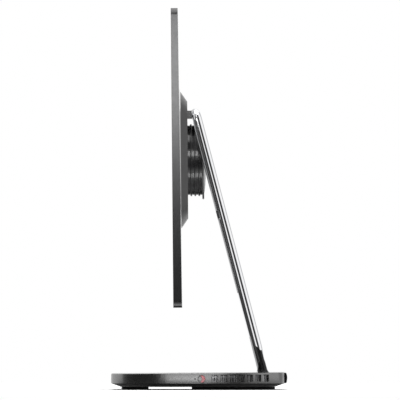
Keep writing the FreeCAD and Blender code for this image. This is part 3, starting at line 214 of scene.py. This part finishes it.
def polished_chrome():
    """Polished chrome, with a painted dark reflection round each leg's foot, whose top edge rises to a point."""
    surface = Surface("arm_chrome", 1.0)
    haze = surface.noise(35.0, detail=6.0)
    wipes = surface.noise(900.0, detail=3.0, stretch=(1.0, 1.0, 0.06))
    shine = surface.blend(surface.between(haze, 0.0, 1.0), (0.86, 0.87, 0.89), (0.92, 0.92, 0.93))
    up = surface.along(UP_LEG, LEG_FOOT)
    behind = surface.along(BEHIND_LEG, LEG_FOOT)
    top = surface.between(behind, DARK_REFLECTION_TIP, DARK_REFLECTION_SHOULDER, -0.1 * BAR_RADIUS, 0.5 * BAR_RADIUS)
    front = surface.between(up, -1.1 * BAR_RADIUS, -0.2 * BAR_RADIUS, *DARK_REFLECTION_RIM)
    back = surface.between(up, 1.1 * BAR_RADIUS, 0.7 * BAR_RADIUS, *DARK_REFLECTION_RIM)
    # Painted reflection: the base colour turns near-black at the foot of each leg, standing in for something dark
    # that the mirror finish reflects.
    painted_reflection = None
    for first, second in ((top, up), (behind, front), (back, behind)):
        inside = surface.between(surface.maths("SUBTRACT", first, second), 0.0, 1.0, -DARK_REFLECTION_EDGE, DARK_REFLECTION_EDGE)
        painted_reflection = surface.maths("MULTIPLY", painted_reflection, inside) if painted_reflection else inside
    surface.colour(surface.blend(painted_reflection, shine, (0.04, 0.04, 0.041)))
    matt = surface.between(painted_reflection, 0.0, 0.35, 0.0, 1.0)
    surface.rough(surface.maths("ADD", surface.between(wipes, 0.035, 0.065), matt))
    return surface.material


def gloss_plastic(name, shade, roughness=(0.1, 0.16)):
    dark = tuple(0.8 * part for part in shade)
    surface = grained(name, shade, dark, roughness, 0.0, 2500.0, 0.0006 * MM)
    surface.coat(0.4, 0.06)
    return surface.material


def matt_plastic(name, shade):
    """Moulded plastic with a fine spark-eroded texture."""
    dark = tuple(0.75 * part for part in shade)
    return grained(name, shade, dark, (0.5, 0.62), 0.0, 4200.0, 0.03 * MM, specular=0.2).material


def rubber():
    return grained("foot_rubber", (0.028, 0.028, 0.029), (0.016, 0.016, 0.017), (0.7, 0.85), 0.0,
                   1800.0, 0.05 * MM, specular=0.25).material


def brushed(name, light, dark, roughness=(0.26, 0.36), stretch=(0.05, 1.0, 1.0)):
    return grained(name, light, dark, roughness, 1.0, 5200.0, 0.002 * MM, stretch=stretch).material


def circuit_board():
    """Green solder mask with paler tracks in a square maze, and small gold pads."""
    surface = Surface("circuit_board", 0.0)
    tracks = surface.add("ShaderNodeTexBrick")
    tracks.inputs["Scale"].default_value = 260.0
    tracks.inputs["Mortar Size"].default_value = 0.06
    surface.join(surface.place, tracks.inputs["Vector"])
    pads = surface.add("ShaderNodeTexVoronoi", feature="DISTANCE_TO_EDGE")
    pads.inputs["Scale"].default_value = 320.0
    surface.join(surface.place, pads.inputs["Vector"])
    mask = surface.blend(tracks.outputs["Fac"], (0.008, 0.055, 0.026), (0.02, 0.12, 0.055))
    pad = surface.between(pads.outputs["Distance"], 0.0, 1.0, 0.42, 0.46)
    surface.colour(surface.blend(pad, mask, (0.62, 0.45, 0.16)))
    surface.rough(surface.between(surface.noise(400.0), 0.3, 0.45))
    surface.raised(tracks.outputs["Fac"], 0.03 * MM)
    return surface.material


def panel_sheet():
    surface = Surface("panel_sheet", 0.0)
    cells = surface.noise(3000.0, detail=1.0)
    surface.colour(surface.blend(surface.between(cells, 0.0, 1.0), (0.62, 0.64, 0.67), (0.7, 0.71, 0.73)))
    surface.rough(surface.between(surface.noise(60.0), 0.2, 0.3))
    return surface.material


def lens_glass():
    surface = Surface("lens_glass", 0.0, 0.8)
    coating = surface.noise(500.0, detail=1.0)
    tint = surface.between(coating, 0.0, 1.0)
    surface.colour(surface.blend(tint, (0.012, 0.01, 0.03), (0.02, 0.012, 0.02)))
    surface.rough(surface.between(surface.noise(80.0), 0.03, 0.06))
    return surface.material


def light_pipe():
    surface = Surface("light_pipe", 0.0)
    frost = surface.noise(6000.0, detail=2.0)
    surface.colour(surface.blend(surface.between(frost, 0.0, 1.0), (0.02, 0.02, 0.024), (0.05, 0.05, 0.055)))
    surface.rough(surface.between(frost, 0.3, 0.45))
    return surface.material


def crescent_red():
    """Tinted clear plastic, its red a little uneven."""
    surface = Surface("crescent_red", 0.0)
    swirl = surface.noise(700.0, detail=2.0)
    surface.colour(surface.blend(surface.between(swirl, 0.0, 1.0), (0.36, 0.02, 0.035), (0.46, 0.03, 0.05)))
    surface.rough(surface.between(surface.noise(1500.0), 0.12, 0.2))
    surface.coat(0.6, 0.05)
    return surface.material


def screen_glass():
    """Black-bordered glass: the lit area behind it is a shade lighter, and the webcam's window shows."""
    low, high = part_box("lcd_cell")
    surface = Surface("screen_glass", 0.0, 0.2)
    parts = surface.add("ShaderNodeSeparateXYZ")
    surface.join(surface.place, parts.inputs["Vector"])
    across = surface.maths("ABSOLUTE", parts.outputs["X"])
    middle = (low.z + high.z) / 2
    up = surface.maths("ABSOLUTE", surface.maths("SUBTRACT", parts.outputs["Z"], middle))
    border = 3.4 * MM
    edge = EDGE_SMALL
    inside = []
    for offset, reach in ((across, high.x - border), (up, (high.z - low.z) / 2 - border)):
        inside.append(surface.between(offset, 1.0, 0.0, reach - edge, reach + edge))
    area = surface.maths("MULTIPLY", *inside)
    cells = surface.noise(3800.0, detail=1.0)
    lit = surface.blend(surface.between(cells, 0.0, 1.0), (0.010, 0.011, 0.013), (0.014, 0.015, 0.018))
    shade = surface.blend(area, (0.0035, 0.0035, 0.004), lit)
    lens_low, lens_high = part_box("webcam_lens")
    lens = surface.add("ShaderNodeVectorMath", operation="DISTANCE")
    surface.join(surface.place, lens.inputs[0])
    lens.inputs[1].default_value = (lens_low + lens_high) / 2
    radius = (lens_high.x - lens_low.x) / 2
    window = surface.between(lens.outputs["Value"], 1.0, 0.0, radius, radius + edge)
    pupil = surface.between(lens.outputs["Value"], 1.0, 0.0, radius / 2, radius / 2 + 2 * edge)
    shade = surface.blend(window, shade, (0.03, 0.03, 0.034))
    surface.colour(surface.blend(pupil, shade, (0.01, 0.006, 0.022)))
    surface.rough(surface.between(surface.noise(25.0, detail=6.0), 0.03, 0.07))
    return surface.material


MATERIALS = {
    "screen_glass": screen_glass(),
    "panel_sheet": panel_sheet(),
    "sheet_steel": brushed("sheet_steel", (0.5, 0.5, 0.51), (0.4, 0.4, 0.41)),
    "circuit_board": circuit_board(),
    "black_plastic": matt_plastic("black_plastic", (0.03, 0.03, 0.031)),
    "lens_glass": lens_glass(),
    "display_metal": anodised("display_metal", (0.085, 0.085, 0.086), (0.075, 0.075, 0.076), (0.36, 0.4)),
    "housing_metal": anodised("housing_metal", (0.14, 0.14, 0.14), (0.12, 0.12, 0.12), (0.3, 0.36)),
    "bracket_metal": anodised("bracket_metal", (0.24, 0.24, 0.24), (0.2, 0.2, 0.2), (0.28, 0.36)),
    "fastener_steel": brushed("fastener_steel", (0.52, 0.52, 0.53), (0.4, 0.4, 0.41)),
    "bush_brass": brushed("bush_brass", (0.72, 0.5, 0.22), (0.56, 0.38, 0.16)),
    "drum_black": gloss_plastic("drum_black", (0.013, 0.013, 0.014), (0.26, 0.32)),
    "cap_grey": anodised("cap_grey", (0.26, 0.26, 0.26), (0.22, 0.22, 0.22), (0.3, 0.38)),
    "base_metal": anodised("base_metal", (0.25, 0.25, 0.25), (0.22, 0.22, 0.22), (0.26, 0.3)),
    "panel_metal": anodised("panel_metal", (0.66, 0.66, 0.66), (0.62, 0.62, 0.62), (0.12, 0.15)),
    "tray_black": matt_plastic("tray_black", (0.014, 0.014, 0.015)),
    "gloss_black": gloss_plastic("gloss_black", (0.008, 0.008, 0.009)),
    "foot_rubber": rubber(),
    "fin_metal": brushed("fin_metal", (0.7, 0.7, 0.71), (0.55, 0.55, 0.56), stretch=(1.0, 1.0, 0.05)),
    "light_pipe": light_pipe(),
    "connector_metal": brushed("connector_metal", (0.6, 0.6, 0.61), (0.48, 0.48, 0.49)),
    "arm_chrome": polished_chrome(),
    "cable_sheath": matt_plastic("cable_sheath", (0.02, 0.02, 0.021)),
    "button_metal": anodised("button_metal", (0.22, 0.22, 0.22), (0.18, 0.18, 0.18)),
    "crescent_red": crescent_red(),
}
SLOT_OF = {part["node"]: part["material_slot"] for part in frame["record"]["subparts"]}
BODY_OF = {node: body for body, members in frame["record"]["behaviour"]["bodies"].items() for node in members}


# ---------------------------------------------------------------- mesh helpers

LATHE_STEPS = 96


def shown(name, mesh, node):
    """Puts a mesh in the scene as a piece that rides on a CAD node's body, with its material."""
    piece = bpy.data.objects.new(name, mesh)
    bpy.context.scene.collection.objects.link(piece)
    slot = SLOT_OF[node]
    mesh.materials.clear()
    mesh.materials.append(MATERIALS[slot])
    for polygon in mesh.polygons:
        polygon.use_smooth = True
    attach(piece, BODY_OF[node])
    return piece


def rounded_edges(piece, width, above=SHARP_ABOVE):
    """Rounds the edges that turn by more than an angle, with the first material on the new faces."""
    bevel = piece.modifiers.new("rounded_edges", "BEVEL")
    bevel.width = width
    bevel.segments = 3
    bevel.limit_method = "ANGLE"
    bevel.angle_limit = math.radians(above)
    bevel.use_clamp_overlap = True
    bevel.material = 0
    even = piece.modifiers.new("even_shading", "WEIGHTED_NORMAL")
    even.keep_sharp = True
    even.weight = 100


def merged_copy(node):
    """A CAD node's shape as one joined mesh, with its flat faces whole again."""
    built = bmesh.new()
    built.from_mesh(NODES[node].data)
    bmesh.ops.remove_doubles(built, verts=built.verts, dist=MERGE_WITHIN)
    bmesh.ops.dissolve_limit(built, angle_limit=math.radians(FLAT_WITHIN), verts=built.verts,
                             edges=built.edges)
    mesh = bpy.data.meshes.new(node + "_shape")
    points = [point.co.copy() for point in built.verts]
    built.verts.index_update()
    mesh.from_pydata(points, [], [[point.index for point in face.verts] for face in built.faces])
    built.free()
    return mesh


def refined(node, width):
    """A CAD node with rounded edges, shown in its place."""
    piece = shown(node + "_finished", merged_copy(node), node)
    rounded_edges(piece, width)
    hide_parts(node)
    return piece


def from_rings(name, rings, closed_loop=False):
    """A mesh through rings of points: its ends are capped, or its last ring joins its first."""
    count = len(rings[0])
    points = [point for ring in rings for point in ring]
    faces = []
    for ring in range(len(rings) - (0 if closed_loop else 1)):
        following = (ring + 1) % len(rings)
        for step in range(count):
            onward = (step + 1) % count
            faces.append((ring * count + step, ring * count + onward, following * count + onward,
                          following * count + step))
    if not closed_loop:
        faces.append(tuple(reversed(range(count))))
        faces.append(tuple(range(len(points) - count, len(points))))
    mesh = bpy.data.meshes.new(name)
    mesh.from_pydata(points, [], faces)
    fixed = bmesh.new()
    fixed.from_mesh(mesh)
    bmesh.ops.recalc_face_normals(fixed, faces=fixed.faces)
    fixed.to_mesh(mesh)
    fixed.free()
    return mesh


def lathed(name, profile, place):
    """A closed profile of (radius, height) turned about the Z axis of a placement."""
    rings = []
    for radius, height in profile:
        ring = []
        for step in range(LATHE_STEPS):
            turn = ROUND * step / LATHE_STEPS
            ring.append(place @ Vector((radius * math.cos(turn), radius * math.sin(turn), height)))
        rings.append(ring)
    return from_rings(name, rings, closed_loop=True)


def smooth_step(value):
    value = min(max(value, 0.0), 1.0)
    return value * value * (3 - 2 * value)


# ---------------------------------------------------------------- arm

LEGS = ("arm_leg_right_polished", "arm_leg_left_polished")
FLARE_REACH = 4.5 * MM
FLARE_STEPS = 8
NECK_REACH = 60 * MM
NECK_STEPS = 16
BAR_STEPS = 24
BEND_STEPS = 16
BAR_SIDES = 64
# Near its foot the leg's rings lie level with the base, and higher up they turn square to the bar.
LEVEL_BELOW = 6 * MM
SQUARE_AFTER = 50 * MM


def leg_section(length, angle):
    """How far the bar's surface stands from its middle line, across and behind, at one angle."""
    across = BAR_RADIUS * math.cos(angle)
    behind = BAR_RADIUS * math.sin(angle)
    above_foot = min(max((length - NECK_LOW) / (NECK_TOP - NECK_LOW), 0.0), 1.0) if length >= 0 else 1.0
    across *= 1 - NECK_ACROSS * (1 - above_foot)
    if behind < 0:
        behind *= 1 - NOSE_TAPER * smooth_step((length - LEG_LENGTH + NOSE_START) / NOSE_LENGTH)
    else:
        behind *= 1 - NECK_BEHIND * smooth_step(NECK_EASE * (1 - above_foot))
    flare = max(0.0, 1 - length / FLARE_LENGTH) if length >= 0 else 0.0
    grow = 1 + FLARE_SHARE * flare ** 2
    return across * grow, behind * grow


def leg_stations():
    """Where the leg's rings stand: a length up the leg, and the share of the bend that is done."""
    corner = LEG_LENGTH - BEND_RADIUS
    stations = [(-LEG_SUNK, 0.0), (0.0, 0.0)]
    start = 0.0
    for reach, steps in ((FLARE_REACH, FLARE_STEPS), (NECK_REACH, NECK_STEPS),
                         (corner - FLARE_REACH - NECK_REACH, BAR_STEPS)):
        stations += [(start + reach * step / steps, 0.0) for step in range(1, steps + 1)]
        start += reach
    stations += [(corner, step / BEND_STEPS) for step in range(1, BEND_STEPS + 1)]
    return stations + [(corner, 1.0)]


def leg_mesh(side):
    """One polished leg: up from the base, round the bend and along to the hinge barrel."""
    stations = leg_stations()
    rings = []
    for index, (length, share) in enumerate(stations):
        turn = share * math.pi / 2
        reach = LEG_SPREAD - BEND_RADIUS * (1 - math.cos(turn))
        level = length + BEND_RADIUS * math.sin(turn)
        outward = Vector((side * math.cos(turn), 0, 0)) + UP_LEG * math.sin(turn)
        if index == len(stations) - 1:
            reach = LEG_END
        middle = LEG_FOOT + Vector((side * reach, 0, 0)) + UP_LEG * level
        level_cut = 1 - smooth_step((length - LEVEL_BELOW) / SQUARE_AFTER)
        ring = []
        for step in range(BAR_SIDES):
            angle = ROUND * step / BAR_SIDES
            across, behind = leg_section(level, angle)
            slant = -behind * math.tan(ARM_LEAN) * level_cut
            ring.append(middle + outward * across + BEHIND_LEG * behind + UP_LEG * slant)
        rings.append(ring)
    return from_rings("leg_shape", rings)


def make_arm():
    for node, side in (("arm_leg_right", 1), ("arm_leg_left", -1)):
        leg = shown(node + "_polished", leg_mesh(side), node)
        rounded_edges(leg, EDGE_MEDIUM, above=60.0)
        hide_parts(node)


# ---------------------------------------------------------------- display

SCREEN_LEAN = math.radians(0.49)
GLASS_THICKNESS = 1.1 * MM
HOUSING_DEPTH = 18.65 * MM
HOUSING_DROP = 0.9 * MM
ACROSS = Vector((1, 0, 0))
THROUGH = Vector((0, math.cos(SCREEN_LEAN), math.sin(SCREEN_LEAN)))
DOWN = Vector((0, math.sin(SCREEN_LEAN), -math.cos(SCREEN_LEAN)))
GLASS_LOW, GLASS_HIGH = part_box("cover_glass")
GLASS_FRONT = (GLASS_LOW + GLASS_HIGH) / 2 - THROUGH * GLASS_THICKNESS / 2

DRUM_RIDGE = 43.7 * MM
DRUM_GROOVE = 1.6 * MM
DRUM_WALL = 2.2 * MM
FIRST_GROOVE = 2.8 * MM
RIB_WIDTH = 2.4 * MM
RIB_COUNT = 3
DRUM_LENGTH = FIRST_GROOVE + 2 * RIB_COUNT * RIB_WIDTH
DRUM_STEPS = 86
CAP_RADIUS = 45.6 * MM
CAP_RIM = 2.4 * MM
CAP_DOME = 2.4 * MM
CAP_DROP = 1.9 * MM
CAP_CENTRE = 0.02 * MM
RIM_STEPS = 12
DOME_STEPS = 24


def on_screen(across, down, through):
    """A placement whose Z axis runs back through the display, at a place measured from the glass."""
    origin = GLASS_FRONT + ACROSS * across + DOWN * down + THROUGH * through
    turn = Matrix((ACROSS, DOWN, THROUGH)).transposed().to_4x4()
    return Matrix.Translation(origin) @ turn


def rib_rise(height):
    """The share of a rib's full rise at one height up the drum: three ribs with round backs."""
    place = (height - FIRST_GROOVE) / RIB_WIDTH
    if place < 0 or int(place) % 2:
        return 0.0
    side = 2 * (place - int(place)) - 1
    return (1 - side ** 4) ** 0.5


def make_woofer():
    """The drum's soft ribs, and the domed cap with its rolled rim."""
    profile = []
    for step in range(DRUM_STEPS + 1):
        height = DRUM_LENGTH * step / DRUM_STEPS
        profile.append((DRUM_RIDGE - DRUM_GROOVE * (1 - rib_rise(height)), height))
    inner = DRUM_RIDGE - DRUM_GROOVE - DRUM_WALL
    profile += [(inner, DRUM_LENGTH), (inner, 0.0)]
    place = on_screen(0, HOUSING_DROP, HOUSING_DEPTH)
    drum = shown("woofer_drum_ribbed", lathed("drum_shape", profile, place), "woofer_drum")
    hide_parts("woofer_drum")

    rim = CAP_RIM / 2
    edge = CAP_RADIUS - rim
    profile = [(CAP_CENTRE, rim), (edge - 5 * rim, rim), (edge - 4.5 * rim, 0.0)]
    for step in range(RIM_STEPS + 1):
        turn = math.pi * (step / RIM_STEPS - 0.5)
        profile.append((edge + rim * math.cos(turn), rim + rim * math.sin(turn)))
    lip = edge - 1.2 * rim
    profile += [(lip, 1.92 * rim), (lip - 0.5 * rim, 1.6 * rim)]
    dome = lip - 0.8 * rim
    for step in range(DOME_STEPS + 1):
        out = 1 - step / DOME_STEPS
        profile.append((max(dome * out, CAP_CENTRE),
                        CAP_RIM + CAP_DOME * (1 - out ** 2) - 0.5 * rim * out ** 8))
    place = on_screen(0, HOUSING_DROP + CAP_DROP, HOUSING_DEPTH + DRUM_LENGTH)
    cap = shown("drum_cap_domed", lathed("cap_shape", profile, place), "drum_cap")
    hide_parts("drum_cap")


def make_back():
    """The display's dark sides, and its back faces in a paler metal, painted light, which the legs mirror."""
    for node, width in (("display_rear_cover", 0.3 * MM), ("rear_housing", EDGE_LARGE)):
        shell = refined(node, width)
        shell.data.materials.append(MATERIALS["panel_metal"])
        # Painted light: the faces that look straight back get the paler panel metal, a lit copy of the side metal,
        # so that the legs mirror a bright back.
        for polygon in shell.data.polygons:
            if polygon.normal.dot(THROUGH) > 0.9:
                polygon.material_index = 1


# ---------------------------------------------------------------- base

WALL_BULGE = 0.4 * MM
WALL_LEVELS = 8
ON_WALL = 0.1 * MM
SHELL_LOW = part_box("base_top_shell")[0].z
BASE_SIDE = ("base_top_shell_bowed", "power_button", "button_crescent_finished",
             "button_disc_finished", "button_surround_finished", "heat_sink_fins", "heat_pipe")


def base_shell_mesh():
    """The base's top shell, with its side walls bowed out a little at their middle height."""
    mesh = merged_copy("base_top_shell")
    built = bmesh.new()
    built.from_mesh(mesh)
    tall = SHELL_TOP - SHELL_LOW
    for level in range(1, WALL_LEVELS):
        bmesh.ops.bisect_plane(built, geom=built.verts[:] + built.edges[:] + built.faces[:],
                               plane_co=(0, 0, SHELL_LOW + tall * level / WALL_LEVELS), plane_no=(0, 0, 1),
                               dist=MERGE_WITHIN)
    plan = [Vector((point.co.x, point.co.y)) for point in built.verts]
    order = geometry.convex_hull_2d(plan)
    hull = [plan[index] for index in order]
    for point in built.verts:
        here = Vector((point.co.x, point.co.y))
        nearest = None
        for index, start in enumerate(hull):
            end = hull[(index + 1) % len(hull)]
            onto, share = geometry.intersect_point_line(here, start, end)
            if 0 <= share <= 1 and (nearest is None or (here - onto).length < nearest[0]):
                nearest = ((here - onto).length, end - start)
        if nearest and nearest[0] < ON_WALL:
            along = nearest[1].normalized()
            inward = Vector((-along.y, along.x))
            if inward.dot(here) > 0:
                inward.negate()
            off_middle = 2 * (point.co.z - SHELL_LOW) / tall - 1
            point.co.x += inward.x * WALL_BULGE * off_middle ** 2
            point.co.y += inward.y * WALL_BULGE * off_middle ** 2
    built.to_mesh(mesh)
    built.free()
    return mesh


def make_base():
    shell = shown("base_top_shell_bowed", base_shell_mesh(), "base_top_shell")
    rounded_edges(shell, EDGE_MEDIUM, above=35.0)
    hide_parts("base_top_shell")


# ---------------------------------------------------------------- the rest of the CAD nodes

FINER = {
    "cover_glass": 0.25 * MM,
    "hinge_bracket": 0.6 * MM,
    "base_bottom_tray": EDGE_MEDIUM,
    "rear_port_panel": EDGE_MEDIUM,
    "front_foot": EDGE_LARGE,
    "rear_feet": EDGE_LARGE,
    "usb_ports": EDGE_SMALL,
    "hdmi_ports": EDGE_SMALL,
    "ethernet_port": EDGE_SMALL,
    "audio_jack": EDGE_SMALL,
    "dc_inlet": EDGE_SMALL,
    "button_disc": 0.1 * MM,
    "button_crescent": 0.1 * MM,
    "button_surround": 0.15 * MM,
    "status_light": 0.15 * MM,
}


def finish_other_nodes():
    for node, width in FINER.items():
        refined(node, width)
    for node, part in NODES.items():
        if not part.hide_render:
            part.data.materials.clear()
            part.data.materials.append(MATERIALS[SLOT_OF[node]])


# ---------------------------------------------------------------- room, lights and camera

DISPLAY_SIDE = ("display_rear_cover_finished",)
HOUSING_SIDE = ("rear_housing_finished", "hinge_bracket_finished", "drum_cap_domed")
DRUM = ("woofer_drum_ribbed",)
BUTTON_FACE = ("button_crescent_finished", "button_disc_finished")
COOLER = ("heat_sink_fins", "heat_pipe")
FLOOR_SIZE = 3.0
CAMERA_AWAY = 22.5
CAMERA_HEIGHT = 0.11
CAMERA_AIM = (0, 0.001, 0.2293)
FRAME_HEIGHT = 0.4841
SENSOR = 36.0


def make_floor():
    mesh = bpy.data.meshes.new("floor")
    half = FLOOR_SIZE / 2
    mesh.from_pydata([(-half, -half, 0), (half, -half, 0), (half, half, 0), (-half, half, 0)], [],
                     [(0, 1, 2, 3)])
    floor = bpy.data.objects.new("floor", mesh)
    bpy.context.scene.collection.objects.link(floor)
    surface = Surface("floor_paper", 0.0, 0.2)
    cloud = surface.noise(6.0, detail=4.0)
    surface.colour(surface.blend(surface.between(cloud, 0.0, 1.0), (0.93, 0.93, 0.93), (0.95, 0.95, 0.95)))
    surface.rough(surface.between(surface.noise(200.0), 0.8, 0.9))
    mesh.materials.append(surface.material)
    floor.visible_glossy = False


def band(tree, angle, start, end, soft):
    """1 where an angle in degrees is between start and end, fading to 0 over a soft edge."""
    rise = tree.nodes.new("ShaderNodeMapRange")
    fall = tree.nodes.new("ShaderNodeMapRange")
    for node, first, last in ((rise, start - soft, start + soft), (fall, end + soft, end - soft)):
        node.interpolation_type = "SMOOTHSTEP"
        node.inputs["From Min"].default_value = first
        node.inputs["From Max"].default_value = last
        tree.links.new(angle, node.inputs["Value"])
    both = tree.nodes.new("ShaderNodeMath")
    both.operation = "MULTIPLY"
    tree.links.new(rise.outputs["Result"], both.inputs[0])
    tree.links.new(fall.outputs["Result"], both.inputs[1])
    return both.outputs["Value"]


# The studio's brightness, and the dark patches in it that the metal mirrors. Each patch has its
# azimuth round from +X towards +Y, its soft edge, its rise, that one's soft edge and its strength.
STUDIO_BRIGHT = 1.0
STUDIO_DARK = 0.05
ALL_ROUND = (-200, 200)
ALL_RISES = (-120, 120)
DARK_PATCHES = (
    ((-85, 50), 4, (-28, 72), 8, 1.0),
    ((-110, -80), 4, (-24, -6), 4, 1.0),
    ((50, 103), 4, (-24, -6), 4, 1.0),
    ((104, 134), 6, ALL_RISES, 6, 0.5),
    ((135, 200), 8, (-120, -22), 6, 1.0),
    ((-200, -135), 8, (-120, -22), 6, 1.0),
    (ALL_ROUND, 6, (-120, -62), 6, 1.0),
)


def make_room():
    """A bright white studio with dark patches, which light and reflections show and the camera doesn't."""
    world = bpy.data.worlds.new("studio")
    bpy.context.scene.world = world
    world.use_nodes = True
    tree = world.node_tree
    background = tree.nodes["Background"]
    background.inputs["Color"].default_value = (1, 1, 1, 1)
    direction = tree.nodes.new("ShaderNodeTexCoord").outputs["Generated"]
    parts = tree.nodes.new("ShaderNodeSeparateXYZ")
    tree.links.new(direction, parts.inputs["Vector"])
    turn = math_node(tree, "ARCTAN2", parts.outputs["Y"], parts.outputs["X"])
    azimuth = math_node(tree, "DEGREES", turn)
    rise = math_node(tree, "DEGREES", math_node(tree, "ARCSINE", parts.outputs["Z"]))
    dark = 0.0
    for sides, side_edge, rises, rise_edge, strength in DARK_PATCHES:
        patch = math_node(tree, "MULTIPLY", band(tree, azimuth, *sides, side_edge),
                          band(tree, rise, *rises, rise_edge))
        dark = math_node(tree, "MAXIMUM", dark, math_node(tree, "MULTIPLY", patch, strength))
    level = math_node(tree, "SUBTRACT", STUDIO_BRIGHT,
                      math_node(tree, "MULTIPLY", dark, STUDIO_BRIGHT - STUDIO_DARK))
    seen = tree.nodes.new("ShaderNodeLightPath").outputs["Is Camera Ray"]
    mix = tree.nodes.new("ShaderNodeMix")
    tree.links.new(seen, mix.inputs["Factor"])
    tree.links.new(level, mix.inputs["A"])
    mix.inputs["B"].default_value = 1.0
    tree.links.new(mix.outputs["Result"], background.inputs["Strength"])


# Each softbox: its place, what it points at, its width and height, its power in watts, and the
# pieces that it is kept to. Without any, it lights everything.
LIGHTS = {
    "ceiling": ((0, 0, 2.2), (0, 0, 0), (2.0, 2.0), 30.0, ()),
    "leg_window": ((3.0, -0.16, 0.2), (0.06, 0.04, 0.2), (1.35, 1.0), 3.9, LEGS),
    "leg_strip": ((3.0, -0.16, 3.3), (0.06, 0.04, 3.3), (0.95, 5.2), 14.0, LEGS),
    "display_card": ((0.65, -0.02, 0.39), (0, -0.02, 0.39), (0.4, 0.16), 1.3, DISPLAY_SIDE),
    "display_top_card": ((0.61, -0.02, 0.84), (0.288, -0.02, 0.45), (0.3, 0.25), 0.75, DISPLAY_SIDE),
    "display_foot_card": ((0.315, -0.02, 0.01), (0.288, -0.02, 0.107), (0.06, 0.04), 0.03, DISPLAY_SIDE),
    "housing_card": ((0.65, 0.03, 0.30), (0, 0, 0.30), (0.4, 0.3), 0.3, HOUSING_SIDE),
    "drum_card": ((0.65, 0.02, 0.53), (0, 0.02, 0.28), (0.4, 0.2), 2.0, DRUM),
    "drum_card_low": ((0.22, 0.02, 0.03), (0, 0.02, 0.26), (0.3, 0.08), 0.35, DRUM),
    "base_card": ((0.40, 0.004, 0.012), (0, 0.004, 0.012), (0.07, 0.05), 0.022, BASE_SIDE),
    "base_wash": ((0.8, 0.09, 0.1), (0, 0.09, 0.012), (0.5, 0.3), 0.6, BASE_SIDE),
    "button_card": ((0.6, -0.2, 0.3), (0.144, 0.003, 0.013), (0.2, 0.2), 0.25, BUTTON_FACE),
    "vent_card": ((0.6, -0.2, 0.3), (0.144, 0.003, 0.013), (0.2, 0.2), 0.25, COOLER),
    "floor_card": ((0, 0, 2.4), (0, 0, 0), (3.0, 3.0), 40.0, ("floor",)),
}


def make_light(name, place, aim, size, power, only_on):
    data = bpy.data.lights.new(name, "AREA")
    data.shape = "RECTANGLE"
    data.size, data.size_y = size
    data.energy = power
    light = bpy.data.objects.new(name, data)
    light.location = place
    light.visible_camera = False
    light.rotation_euler = (Vector(aim) - Vector(place)).to_track_quat("-Z", "Y").to_euler()
    bpy.context.scene.collection.objects.link(light)
    if only_on:
        group = bpy.data.collections.new(name + "_group")
        for piece in only_on:
            group.objects.link(bpy.data.objects[piece])
        light.light_linking.receiver_collection = group


def make_camera():
    data = bpy.data.cameras.new("camera")
    data.sensor_width = SENSOR
    data.lens = SENSOR * CAMERA_AWAY / FRAME_HEIGHT
    data.clip_end = 3 * CAMERA_AWAY
    camera = bpy.data.objects.new("camera", data)
    camera.location = (CAMERA_AWAY, CAMERA_AIM[1], CAMERA_HEIGHT)
    camera.rotation_euler = (Vector(CAMERA_AIM) - camera.location).to_track_quat("-Z", "Y").to_euler()
    bpy.context.scene.collection.objects.link(camera)
    bpy.context.scene.camera = camera


make_arm()
make_woofer()
make_back()
make_base()
finish_other_nodes()
make_floor()
make_room()
for name, settings in LIGHTS.items():
    make_light(name, *settings)
make_camera()
bpy.context.scene.view_settings.view_transform = "Standard"
bpy.context.view_layer.update()
